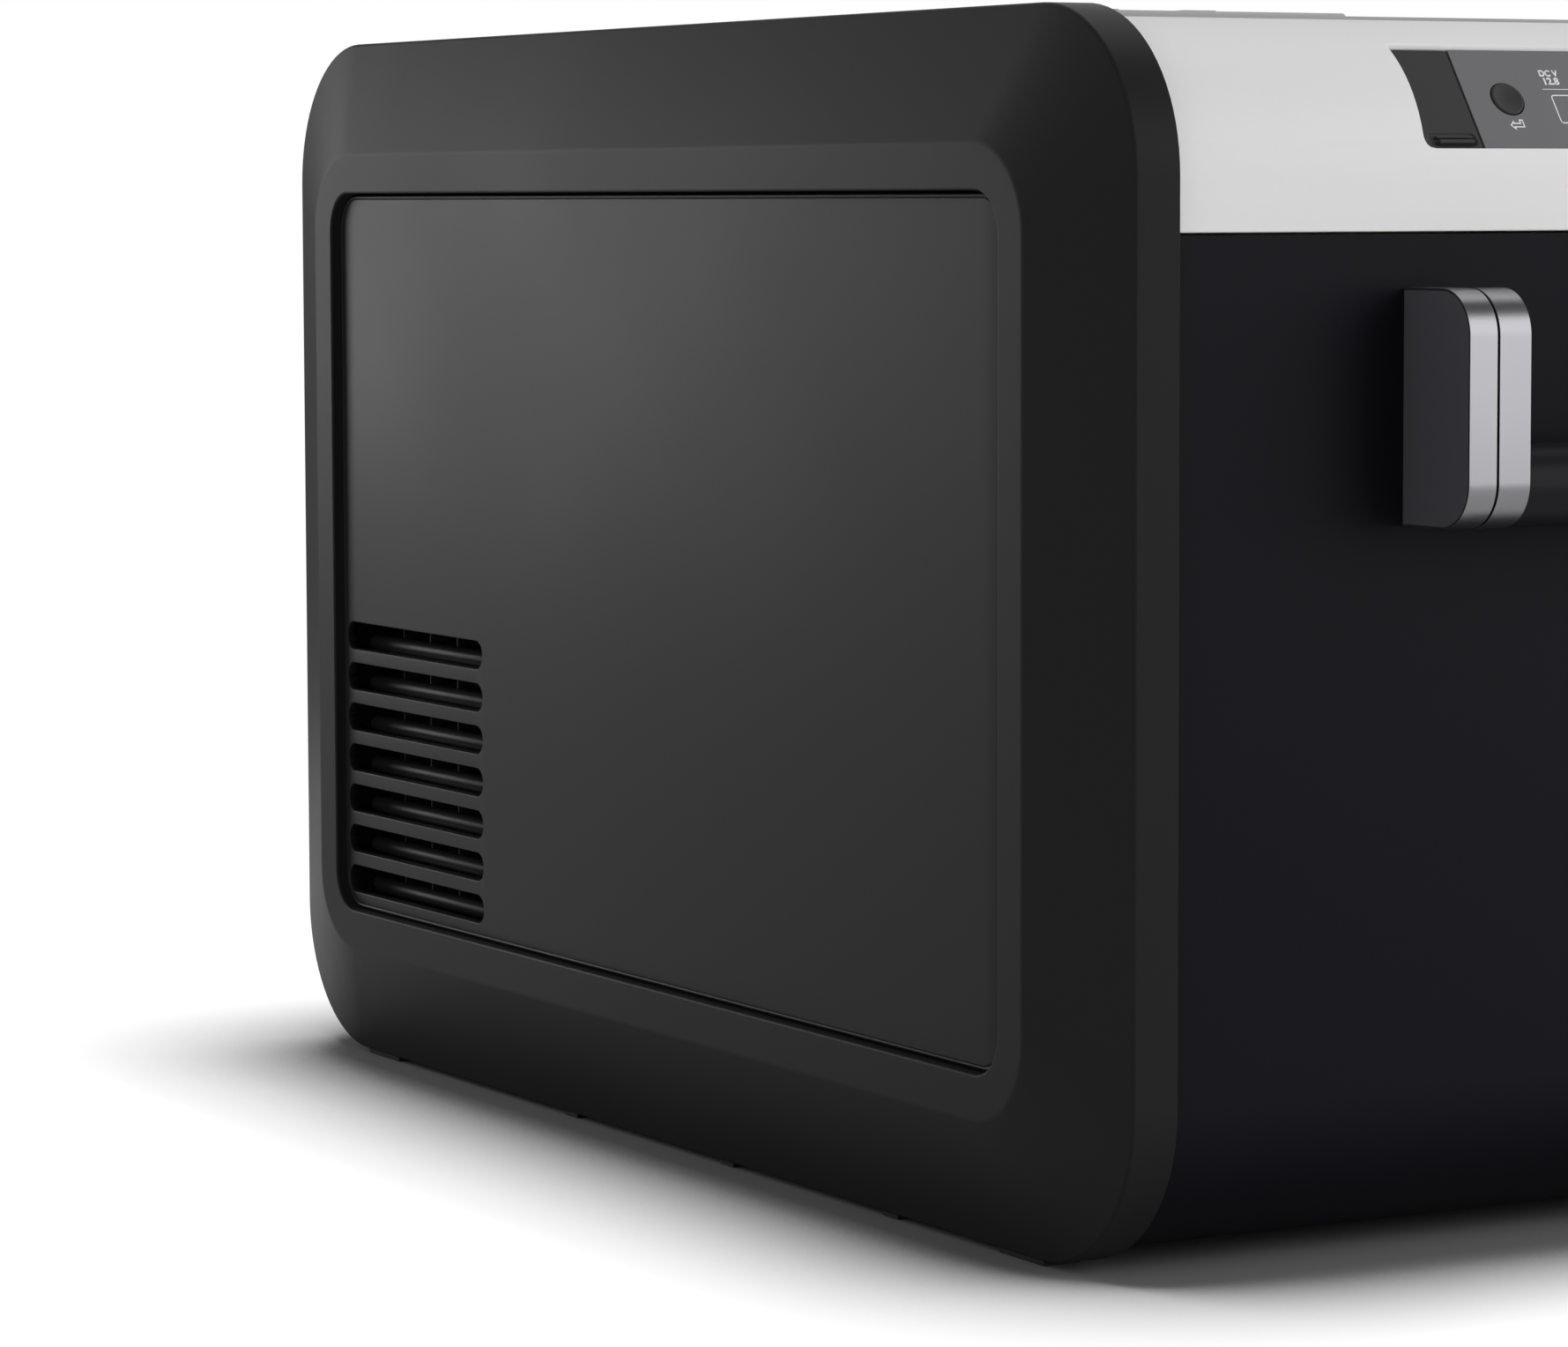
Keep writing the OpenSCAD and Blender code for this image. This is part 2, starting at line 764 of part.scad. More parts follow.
// Condenser: fins on three rows of tube, in front of the fan
module condenser() {
    fins = 24;
    fin_t = 0.8;
    y0 = tube_y - condenser_t / 2;
    color("#9a9a9e") {
        for (k = [0 : fins - 1]) {
            x = fan_x - fan_size / 2 + 2 + k * (fan_size - 5) / (fins - 1);
            block([x, y0, vent_mid - fan_size / 2], [x + fin_t, y0 + condenser_t, vent_mid + fan_size / 2]);
        }
        for (k = [0 : tube_rows - 1]) {
            rod_x(drier_x, fan_x + fan_size / 2 - 1, tube_y, tube_z + k * fan_size / tube_rows, pipe_r + 1);
        }
    }
}

fan_bore = fan_size / 2 - 4;
hub_r = 20;
module fan_frame() {
    y1 = fan_y + fan_depth;
    color("#1b1b1d") {
        difference() {
            across(fan_y, y1) translate([fan_x, vent_mid])
                rounded_rect(-fan_size / 2, -fan_size / 2, fan_size / 2, fan_size / 2, 5);
            rod_y(fan_x, fan_y - 1, y1 + 1, vent_mid, fan_bore);
        }
        rod_y(fan_x, y1 - 3, y1, vent_mid, hub_r);
        for (a = [45 : 90 : 315]) {
            translate([fan_x, 0, vent_mid]) rotate([0, a, 0])
                block([hub_r - 1, y1 - 3, -2], [fan_bore + 1, y1, 2]);
        }
        rod_y(fan_x, fan_y + 6, y1 - 2, vent_mid, 3);
    }
}

// Fan wheel: a hub that turns on the frame's spindle, with slanted blades
module fan_rotor() {
    y0 = fan_y + 2;
    y1 = fan_y + fan_depth - 4;
    color("#252528") {
        difference() {
            rod_y(fan_x, y0, y1, vent_mid, hub_r);
            rod_y(fan_x, y0 + 2, y1 + 1, vent_mid, 3 + run);
        }
        intersection() {
            rod_y(fan_x, y0, y1, vent_mid, fan_bore - 2);
            for (k = [0 : blade_count - 1]) {
                turn = [0, k * 360 / blade_count, 0];
                translate([fan_x, (y0 + y1) / 2, vent_mid]) rotate(turn) rotate([35, 0, 0])
                    block([hub_r - 1, -12, -1], [fan_bore, 12, 1]);
            }
        }
    }
}

// Power electronics on the compressor room's far side: a box with cooling fins
module control_module() {
    end_gap = 34;
    room_gap = 14;
    side_gap = 8;
    box_w = 42;
    box_h = 90;
    fins = 7;
    fin_h = 10;
    fin_t = 3;
    x0 = -end_x + wall + end_gap;
    x1 = room_x - room_gap;
    y1 = side_y - side_gap;
    y0 = y1 - box_w;
    z1 = room_top - wall - 3 * room_gap;
    z0 = z1 - box_h;
    color("#2a2a2e") {
        block([x0, y0, z0], [x1, y1, z1]);
        for (k = [0 : fins - 1]) {
            x = x0 + fin_h + k * (x1 - x0 - 2 * fin_h - fin_t) / (fins - 1);
            block([x, y0 - fin_h, z0 + fin_h], [x + fin_t, y0, z1 - fin_h]);
        }
    }
}

// Mains and battery inlets in the rear end
inlet_w = 30;
inlet_h = 22;
inlet_z = belly_z + casing_r + 36;
inlet_edge = 12.3;
dc_y = side_y - inlet_w / 2 - inlet_edge;
ac_y = dc_y - inlet_w - 12;
module inlet(y, pin_r) {
    mouth_w = 20;
    mouth_h = 10;
    depth = 22;
    rim = 2;
    rim_t = 1.5;
    pin_y = 4.5;
    pin_set = 7;
    x0 = -end_x;
    color("#18181a") {
        difference() {
            union() {
                block([x0, y - inlet_w / 2, inlet_z - inlet_h / 2],
                      [x0 + depth, y + inlet_w / 2, inlet_z + inlet_h / 2]);
                block([x0 - rim_t, y - inlet_w / 2 - rim, inlet_z - inlet_h / 2 - rim],
                      [x0, y + inlet_w / 2 + rim, inlet_z + inlet_h / 2 + rim]);
            }
            block([x0 - rim, y - mouth_w / 2, inlet_z - mouth_h / 2],
                  [x0 + depth - 4, y + mouth_w / 2, inlet_z + mouth_h / 2]);
        }
        for (s = [-1, 1]) rod_x(x0 + pin_set, x0 + depth - 3, y + s * pin_y, inlet_z, pin_r);
    }
}

module ac_inlet() {
    inlet(ac_y, 1.2);
}
module dc_inlet() {
    inlet(dc_y, 1.8);
}

// Drain: a sleeve through the foam and a plug outside
drain_r = 9;
drain_y = vat_y - vat_r - drain_r - 4.3;
drain_z = belly_z + casing_r + 8;
module drain_sleeve() {
    color("#3a3a3c") difference() {
        rod_x(vat_x + liner_t, end_x, drain_y, drain_z, drain_r);
        rod_x(vat_x, end_x + 1, drain_y, drain_z, drain_r - 3);
    }
}

module drain_plug() {
    color("#242426") {
        rod_x(end_x - 18, end_x + slack, drain_y, drain_z, drain_r - 3 - slack / 2);
        difference() {
            rod_x(end_x + slack, end_x + 7, drain_y, drain_z, 13);
            for (a = [0 : 45 : 315]) {
                translate([0, drain_y, drain_z]) rotate([a, 0, 0]) rod_x(end_x - 1, end_x + 8, 0, 14, 2);
            }
        }
    }
}

// Light in the vat, as a bar on its long wall
module interior_light() {
    light_l = 40;
    light_h = 12;
    light_t = 3;
    light_drop = 54;
    light_z = deck_z - light_drop;
    color("#f2f2ee") block([-light_l / 2, vat_y - light_t, light_z - light_h / 2],
                           [light_l / 2, vat_y, light_z + light_h / 2]);
}

// Wire basket that stands in the lower vat: five flat grids of wire
wire_d = 3;
basket_gap = 8;
basket_x0 = step_x + basket_gap;
basket_x1 = vat_x - basket_gap;
basket_y = vat_y - basket_gap;
basket_z0 = vat_floor + 0.5;
basket_z1 = deck_z - plug_d - 12;
module wire_grid(x0, y0, x1, y1, columns, rows) {
    dx = (x1 - x0 - wire_d) / columns;
    dy = (y1 - y0 - wire_d) / rows;
    difference() {
        translate([x0, y0]) square([x1 - x0, y1 - y0]);
        for (i = [0 : columns - 1]) {
            for (k = [0 : rows - 1]) {
                translate([x0 + wire_d + i * dx, y0 + wire_d + k * dy]) square([dx - wire_d, dy - wire_d]);
            }
        }
    }
}

module wire_basket() {
    columns = 9;
    rows = 4;
    ribs = 6;
    color("#d8d8da") {
        translate([0, 0, basket_z0]) linear_extrude(wire_d)
            wire_grid(basket_x0, -basket_y, basket_x1, basket_y, columns, 2);
        for (y = [-basket_y, basket_y - wire_d]) {
            across(y, y + wire_d) wire_grid(basket_x0, basket_z0, basket_x1, basket_z1, columns, rows);
        }
        for (x = [basket_x0, basket_x1 - wire_d]) {
            along(x, x + wire_d) wire_grid(-basket_y, basket_z0, basket_y, basket_z1, ribs, rows);
        }
    }
}

// Foot pads under the rim of a side frame: a long one at each end and short ones between
module feet() {
    pad_l = 28;
    stud_l = 10;
    pad_w = 14;
    long_x = half_l - frame_r - pad_l / 2;
    y = -(rim_y + base_y) / 2;
    module pad(x, l) {
        block([x - l / 2, y - pad_w / 2, 0], [x + l / 2, y + pad_w / 2, foot_h]);
    }
    color("#161617") {
        for (x = [-long_x, long_x]) pad(x, pad_l);
        for (x = [-0.25, 0.14, 0.51] * half_l) pad(x, stud_l);
    }
}

// Outline of a handle bracket on the end face, a distance inside its edge
module bracket_outline(inset) {
    r = handle_r - inset;
    translate([end_x, handle_z + inset]) square([handle_d - handle_r, handle_h - 2 * inset]);
    translate([end_x, handle_z + handle_r]) square([handle_d - inset, handle_h - 2 * handle_r]);
    for (z = [handle_z + handle_r, pivot_z]) translate([pivot_x, z]) circle(r);
}

module bracket() {
    y0 = -handle_w / 2;
    color(metal_colour) difference() {
        across(y0, y0 + bracket_w) bracket_outline(0);
        across(y0 - 1, y0 + cheek_t) bracket_outline(cheek_edge);
        rod_y(pivot_x, y0, y0 + bracket_w + 1, pivot_z, pivot_r);
    }
}

module bracket_cheeks() {
    y0 = -handle_w / 2;
    module cheek() {
        across(y0, y0 + cheek_t) bracket_outline(cheek_edge);
    }
    color(dark_colour) {
        cheek();
        right_side() cheek();
        rear_end() {
            cheek();
            right_side() cheek();
        }
    }
}

// Swing arm: a bar with round ends, the upper one about the pivot, and a spigot for the grip
module arm() {
    color(metal_colour) difference() {
        union() {
            across(-arm_y, -arm_y + arm_w) {
                translate([pivot_x - handle_r, handle_z + handle_r])
                    square([2 * handle_r, handle_h - 2 * handle_r]);
                for (z = [handle_z + handle_r, pivot_z]) translate([pivot_x, z]) circle(handle_r);
            }
            rod_y(pivot_x, -arm_y + arm_w - 1, -arm_y + arm_w + spigot_l, grip_z, spigot_r);
        }
        rod_y(pivot_x, -arm_y - 1, -arm_y + arm_w - arm_skin, pivot_z, pivot_r + run);
    }
}

module grip() {
    end = arm_y - arm_w;
    socket_l = spigot_l + 0.5;
    color("#26262a") difference() {
        rod_y(pivot_x, -end, end, grip_z, grip_d / 2);
        for (y = [-end - 1, end - socket_l]) rod_y(pivot_x, y, y + socket_l + 1, grip_z, spigot_r + run);
    }
}

module handle_pins() {
    y0 = -handle_w / 2 + cheek_t;
    module pin() {
        rod_y(pivot_x, y0, -arm_y + arm_w - arm_skin - 0.5, pivot_z, pivot_r);
    }
    color("#8c8c90") {
        pin();
        right_side() pin();
        rear_end() {
            pin();
            right_side() pin();
        }
    }
}

// Lid: its outer form, a distance inside its skin
module lid_form(skin, bottom) {
    r = lid_r;
    intersection() {
        along(-lid_x + skin, lid_x - skin)
            rounded_rect(-lid_y + skin, bottom - 4 * r, lid_y - skin, lid_top - skin, r);
        across(-lid_y, lid_y) rounded_rect(-lid_x + skin, bottom - 4 * r, lid_x - skin, lid_top - skin, r);
        block([-lid_x, -lid_y, bottom], [lid_x, lid_y, lid_top]);
    }
}

// Room for the hinges and for the latch, cut out of every piece of the lid
module lid_notches(grow) {
    for (s = [-1, 1]) {
        block([s * hinge_x - notch_w / 2 - grow, lid_y - notch_d - grow, deck_z],
              [s * hinge_x + notch_w / 2 + grow, lid_y + 1, body_h]);
    }
    pocket = latch_w / 2 + 1 + grow;
    slot = hook_w / 2 + 2 + grow;
    block([-pocket, latch_y - 5 - grow, latch_z - latch_r - 0.5 - grow],
          [pocket, latch_end + 1 + grow, body_h]);
    block([-pocket, latch_end - 4 - grow, lid_top - scoop_d - grow],
          [pocket, latch_end + scoop_l + grow, body_h]);
    block([-slot, -lid_y - 1, deck_z - 1], [slot, latch_y + 4 + grow, body_h]);
    block([-slot, -lid_y - 1, lid_skirt_z + wall - grow], [slot, latch_y + hook_swing + grow, body_h]);
}

// Low ridges along the lid, beside the latch and on the hinge side
module lid_ridges() {
    ridge_h = 0.6;
    ridge_w = [10, 12];
    ridge_in = [4.5, 39.5];
    ridge_end = 12;
    x0 = latch_w / 2 + 15;
    for (s = [-1, 1]) {
        for (k = [0, 1]) {
            y0 = s > 0 ? lid_y - ridge_in[k] - ridge_w[k] : -lid_y + ridge_in[k];
            for (x = [-lid_x + ridge_end, x0]) {
                block([x, y0, lid_top - 1], [x + lid_x - ridge_end - x0, y0 + ridge_w[k], lid_top + ridge_h]);
            }
        }
    }
}

module lid_shell() {
    color(collar_colour) difference() {
        union() {
            lid_ridges();
            difference() {
                lid_form(0, lid_skirt_z);
                lid_form(wall, lid_skirt_z - 1);
            }
            intersection() {
                lid_form(0.5, lid_skirt_z);
                lid_notches(wall);
            }
        }
        block([-body_l, -trough_w / 2, lid_top - trough_d], [body_l, trough_w / 2, body_h]);
        lid_notches(0);
        rod_x(-latch_w / 2 - 3, latch_w / 2 + 3, latch_y, latch_z, latch_pin_r);
    }
}

module lid_insulation() {
    color("#e8dfb8") difference() {
        union() {
            intersection() {
                lid_form(wall, lid_skirt_z);
                block([-lid_x, -lid_y, lid_skirt_z], [lid_x, lid_y, lid_top - wall - trough_d]);
            }
            plug_form(wall, lid_skirt_z + 1);
        }
        lid_notches(wall + eps);
    }
}

// The lid's plug inside the vat's mouth, a distance inside its skin
module plug_form(skin, top) {
    x = vat_x - plug_gap - skin;
    y = vat_y - plug_gap - skin;
    z = deck_z - plug_d + skin;
    translate([0, 0, z]) linear_extrude(top - z) rounded_rect(-x, -y, x, y, vat_r - plug_gap - skin);
}

module lid_liner() {
    color("#e2e2e4") difference() {
        union() {
            block([-lid_x + 1, -lid_y + 1, lid_plate_z], [lid_x - 1, lid_y - 1, lid_skirt_z]);
            plug_form(0, lid_skirt_z);
        }
        plug_form(wall, lid_skirt_z + 1);
        lid_notches(0.5);
    }
}

module lid_gasket() {
    in = vat_x + liner_t + 1;
    iny = vat_y + liner_t + 3;
    w = 7;
    r = vat_r + liner_t;
    color("#3a3a3d") translate([0, 0, lid_plate_z - gasket_t]) linear_extrude(gasket_t) difference() {
        rounded_rect(-in - w + 2, -iny - w, in + w - 2, iny + w, r + w);
        rounded_rect(-in, -iny, in, iny, r);
    }
}

// Hinges: a post with one knuckle on the deck, a leaf with two knuckles on the lid and a pin
module hinge_bases() {
    color("#2a2a2c") for (s = [-1, 1]) {
        x0 = s * hinge_x - knuckle_w / 2 + 0.2;
        x1 = s * hinge_x + knuckle_w / 2 - 0.2;
        difference() {
            union() {
                rod_x(x0, x1, hinge_y, hinge_z, knuckle_r);
                block([x0, hinge_y - 3, deck_z], [x1, hinge_y + 3, hinge_z]);
            }
            rod_x(x0 - 1, x1 + 1, hinge_y, hinge_z, hinge_pin_r);
        }
    }
}

module hinge_leaves() {
    color("#2a2a2c") for (s = [-1, 1]) {
        for (t = [-1, 1]) {
            x0 = s * hinge_x + t * (knuckle_w + leaf_w) / 2 - leaf_w / 2 + 0.3;
            x1 = x0 + leaf_w - 0.3;
            difference() {
                union() {
                    rod_x(x0, x1, hinge_y, hinge_z, knuckle_r);
                    block([x0, lid_y - notch_d, hinge_z - knuckle_r], [x1, hinge_y, hinge_z + 1]);
                }
                rod_x(x0 - 1, x1 + 1, hinge_y, hinge_z, hinge_pin_r + run);
            }
        }
    }
}

module hinge_pins() {
    color(metal_colour) for (s = [-1, 1]) {
        reach = knuckle_w / 2 + leaf_w;
        rod_x(s * hinge_x - reach, s * hinge_x + reach, hinge_y, hinge_z, hinge_pin_r);
    }
}

// Latch: a lever in the lid whose hook reaches down to a striker on the deck
module latch_lever() {
    w = latch_w / 2;
    color("#bdbdc0") difference() {
        union() {
            block([-w, latch_y - 1, lid_top - latch_t], [w, latch_end, lid_top - trough_d]);
            rod_x(-w, w, latch_y, latch_z, latch_r);
            block([-hook_w / 2, latch_y - hook_t + 1, hook_z], [hook_w / 2, latch_y + 1, latch_z]);
            block([-hook_w / 2, latch_y - hook_t - 1, hook_z],
                  [hook_w / 2, latch_y - hook_t + 2, hook_z + 3]);
        }
        rod_x(-w - 1, w + 1, latch_y, latch_z, latch_pin_r + run);
    }
}

module latch_pin() {
    color(metal_colour) rod_x(-latch_w / 2 - 3, latch_w / 2 + 3, latch_y, latch_z, latch_pin_r);
}

module latch_striker() {
    w = hook_w / 2 - 1;
    y1 = latch_y - hook_t - 1.6;
    color("#2a2a2c") {
        block([-w, y1 - 2, deck_z], [w, y1, hook_z + 4]);
        block([-w, y1 - 2, deck_z], [w, y1 + 6, deck_z + 2]);
    }
}

side_frame();  // side_frame_left
right_side() side_frame();  // side_frame_right
side_panel();  // side_panel_left
right_side() side_panel();  // side_panel_right
outer_casing();
casing_side();  // casing_side_left
right_side() casing_side();  // casing_side_right
front_collar();
rear_collar();
top_deck();
inner_liner();
body_insulation();
evaporator();
compressor();
compressor_grommets();
compressor_base_plate();
condenser();
fan_frame();
fan_rotor();
control_module();
refrigerant_pipes();
filter_drier();
display_housing();
display_overlay();
display_screen();
power_button();
menu_button();
usb_socket();
usb_cover();
bracket();  // front_bracket_left
right_side() bracket();  // front_bracket_right
rear_end() bracket();  // rear_bracket_left
rear_end() right_side() bracket();  // rear_bracket_right
bracket_cheeks();
handle_pins();
arm();  // front_arm_left
right_side() arm();  // front_arm_right
grip();  // front_grip
rear_end() arm();  // rear_arm_left
rear_end() right_side() arm();  // rear_arm_right
rear_end() grip();  // rear_grip
feet();  // feet_left
right_side() feet();  // feet_right
ac_inlet();
dc_inlet();
drain_sleeve();
drain_plug();
interior_light();
wire_basket();
hinge_bases();
hinge_pins();
hinge_leaves();
lid_shell();
lid_insulation();
lid_liner();
lid_gasket();
latch_lever();
latch_pin();
latch_striker();
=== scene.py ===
# %% [markdown]
# # A compressor cooler, dressed for its picture
# The construction model brings every piece at its true size: frames, casing, lid, handles, display.
# This lesson gives those pieces their real finish and rebuilds the ones whose looks need softer edges.
# Everything is in metres, +X is the display end and +Z is up.

# %% Load the construction model
import json
import math
import bmesh
import bpy
from mathutils import Matrix, Vector


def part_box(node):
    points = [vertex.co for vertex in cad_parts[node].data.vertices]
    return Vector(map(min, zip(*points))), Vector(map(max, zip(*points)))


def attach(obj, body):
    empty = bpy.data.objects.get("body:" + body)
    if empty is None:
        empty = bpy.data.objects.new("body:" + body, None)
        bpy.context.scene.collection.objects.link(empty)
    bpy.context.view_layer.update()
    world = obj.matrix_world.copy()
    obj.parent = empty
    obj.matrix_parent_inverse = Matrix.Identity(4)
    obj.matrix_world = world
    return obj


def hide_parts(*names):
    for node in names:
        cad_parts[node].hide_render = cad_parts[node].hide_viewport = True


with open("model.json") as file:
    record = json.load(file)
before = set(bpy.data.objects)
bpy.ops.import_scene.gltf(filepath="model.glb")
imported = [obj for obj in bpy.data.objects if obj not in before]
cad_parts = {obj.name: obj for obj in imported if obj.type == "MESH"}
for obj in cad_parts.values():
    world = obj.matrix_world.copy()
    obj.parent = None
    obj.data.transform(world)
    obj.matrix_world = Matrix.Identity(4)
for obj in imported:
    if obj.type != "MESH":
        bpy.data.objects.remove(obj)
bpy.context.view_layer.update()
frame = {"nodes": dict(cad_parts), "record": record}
MM = 0.001

# %% [markdown]
# ## Camera
# The photograph's perspective was solved from the box's straight edges: the camera stands 1.76 m in
# front, 1.11 m to the left and a little below the lid's top, and looks 61 degrees round from the side.
# A long lens keeps the far end almost as large as the near one, as in a product picture.

# %% Camera at the photograph's place
CAMERA_PLACE = Vector((1.7569, -1.1068, 0.3425))
CAMERA_YAW, CAMERA_PITCH, CAMERA_ROLL = 61.06, 4.903, -0.176
SENSOR_MM, LENS_MM = 36.0, 127.08


def camera_axes(yaw, pitch, roll):
    """The camera's right, up and forward directions for angles in degrees."""
    yaw, pitch, roll = (math.radians(a) for a in (yaw, pitch, roll))
    forward = Vector((-math.sin(yaw) * math.cos(pitch), math.cos(yaw) * math.cos(pitch), -math.sin(pitch)))
    right = Vector((math.cos(yaw), math.sin(yaw), 0))
    up = right.cross(forward)
    tilted_right = math.cos(roll) * right + math.sin(roll) * up
    tilted_up = math.cos(roll) * up - math.sin(roll) * right
    return tilted_right, tilted_up, forward


camera_data = bpy.data.cameras.new("camera")
camera_data.lens = LENS_MM
camera_data.sensor_width = SENSOR_MM
camera_data.clip_end = 50
camera = bpy.data.objects.new("camera", camera_data)
bpy.context.scene.collection.objects.link(camera)
right, up, forward = camera_axes(CAMERA_YAW, CAMERA_PITCH, CAMERA_ROLL)
camera.matrix_world = Matrix.Translation(CAMERA_PLACE) @ Matrix((right, up, -forward)).transposed().to_4x4()
bpy.context.scene.camera = camera
print("camera looks along", tuple(round(v, 3) for v in forward))

# %% [markdown]
# ## Materials: helpers
# A material is a small network of nodes. One function turns the sRGB hex value that an eye picks from a
# colour chart into the linear values that the shader wants, and one function adds a node with its
# settings and links, so each finish below reads as a short recipe.

# %% Colour and node helpers


def linear(hex_colour):
    """Linear RGBA from an sRGB hex string such as '2b2b2c'."""
    channels = [int(hex_colour[i:i + 2], 16) / 255 for i in (0, 2, 4)]
    return [c / 12.92 if c <= 0.04045 else ((c + 0.055) / 1.055) ** 2.4 for c in channels] + [1.0]


def add_node(material, kind, settings=None, links=None):
    """Adds a node, sets its attributes or input values by name, and links other nodes' outputs into it."""
    node = material.node_tree.nodes.new(kind)
    for name, value in (settings or {}).items():
        if name in node.inputs:
            node.inputs[name].default_value = value
        else:
            setattr(node, name, value)
    for name, output in (links or {}).items():
        material.node_tree.links.new(output, node.inputs[name])
    return node


def new_material(name, hex_colour, roughness, **sockets):
    """A Principled material with one base colour, and the shader node to build on."""
    material = bpy.data.materials.new(name)
    material.use_nodes = True
    shader = material.node_tree.nodes["Principled BSDF"]
    shader.inputs["Base Color"].default_value = linear(hex_colour)
    shader.inputs["Roughness"].default_value = roughness
    for socket, value in sockets.items():
        shader.inputs[socket.replace("_", " ")].default_value = value
    return material, shader


def grained(name, hex_colour, hex_other, roughness, grain_mm, depth_mm, rough_swing=0.06, **sockets):
    """A moulded or coated surface: faint tone changes, uneven gloss and a fine raised grain."""
    material, shader = new_material(name, hex_colour, roughness, **sockets)
    place = add_node(material, "ShaderNodeTexCoord").outputs["Object"]
    broad = add_node(material, "ShaderNodeTexNoise", {"Scale": 9.0, "Detail": 4.0}, {"Vector": place})
    tone = add_node(material, "ShaderNodeMix", {"data_type": "RGBA"}, {"Factor": broad.outputs["Fac"]})
    tone.inputs[6].default_value = linear(hex_colour)
    tone.inputs[7].default_value = linear(hex_other)
    material.node_tree.links.new(tone.outputs[2], shader.inputs["Base Color"])
    gloss = add_node(material, "ShaderNodeMapRange",
                     {"To Min": roughness - rough_swing, "To Max": roughness + rough_swing},
                     {"Value": broad.outputs["Fac"]})
    material.node_tree.links.new(gloss.outputs["Result"], shader.inputs["Roughness"])
    fine = add_node(material, "ShaderNodeTexNoise", {"Scale": 1 / (grain_mm * MM), "Detail": 2.0},
                    {"Vector": place})
    bump = add_node(material, "ShaderNodeBump", {"Strength": 0.35, "Distance": depth_mm * MM},
                    {"Height": fine.outputs["Fac"]})
    material.node_tree.links.new(bump.outputs["Normal"], shader.inputs["Normal"])
    return material


# %% [markdown]
# ## The finishes
# The side frames are black polypropylene with a fine moulded grain, which spreads the light into a soft
# sheen. The panel is the same plastic, a little smoother, so that its upper left catches the lamp. The
# louvre blades and the box round them get a rougher one coloured near-black, which is painted shade,
# because hardly any light comes back from between the slots.
# The casing is sheet metal under a smooth, slightly blue powder coat. The collars and the lid are light
# grey ABS; the lid's colour is drawn a darker grey, which is painted shade. The handle's ends are satin
# anodised aluminium, with nylon cheeks that show a dull grey, and the grip between them has a satin coat.
# The display's overlay is tinted acrylic, and the flap and the buttons are rubber, which looks soft
# because it has almost no sheen.
#
# A real moulded grain is a few tenths of a millimetre wide. Here it is drawn about twice as coarse, so
# that it still shows in the picture.

# %% Finishes of the outside
frame_plastic = grained("grained_black_polypropylene", "1f1f20", "232324", 0.45, 0.7, 0.05,
                        Specular_IOR_Level=0.05)
panel_plastic = grained("grained_panel_polypropylene", "1f1f20", "232324", 0.39, 0.6, 0.05,
                        Specular_IOR_Level=0.05)
# Near-black for the louvre blades and their box: painted shade, since hardly any light comes back from
# between the slots.
painted_shade_plastic = grained("rough_painted_shade_polypropylene", "0b0b0b", "0f0f0f", 0.8, 0.8, 0.05,
                        Specular_IOR_Level=0.02)
casing_coat = grained("satin_powder_coat", "121217", "15151a", 0.46, 1.1, 0.02, Specular_IOR_Level=0.04)
collar_plastic = grained("light_grey_abs", "e9e9e9", "e6e6e6", 0.48, 0.8, 0.02, Specular_IOR_Level=0.2)
# The lid is the collars' light grey ABS drawn darker: the darker grey is painted shade.
lid_painted_shade_plastic = grained("light_grey_abs_painted_shade", "acacad", "a8a8a9", 0.50, 0.8, 0.03, Specular_IOR_Level=0.2)
dark_plastic = grained("dark_grey_nylon", "4d4d52", "515156", 0.46, 0.7, 0.03, Specular_IOR_Level=0.15)
grip_coat = grained("satin_grip_coat", "1b1b1e", "1e1e21", 0.4, 0.9, 0.02, Specular_IOR_Level=0.05)
flap_rubber = grained("silicone_rubber", "363637", "3a3a3b", 0.55, 0.5, 0.03, Specular_IOR_Level=0.12)
button_rubber = grained("button_rubber", "313132", "353536", 0.5, 0.4, 0.02, Specular_IOR_Level=0.15)
black_rubber = grained("black_rubber", "131314", "18181a", 0.7, 0.8, 0.05, Specular_IOR_Level=0.15)
white_ink = grained("white_screen_ink", "f0f0f0", "ececec", 0.4, 2.0, 0.002)
display_acrylic = grained("tinted_acrylic", "727274", "757577", 0.36, 3.0, 0.002, 0.03,
                          Specular_IOR_Level=0.08)
anodised = grained("anodised_aluminium", "7a7a7d", "767679", 0.34, 0.5, 0.02, Metallic=0.95)

# %% [markdown]
# The inside shows when the lid is open: a bright polystyrene vat, an ABS deck round its mouth, a matt
# rubber gasket, plastic-coated wire and a frosted lens. The cooling machine behind the vat has the
# finishes such machines have: black enamelled compressor, drawn copper pipes, rolled aluminium sheet,
# turned steel pins and yellowish foam, whose coarse bump is its open cells.

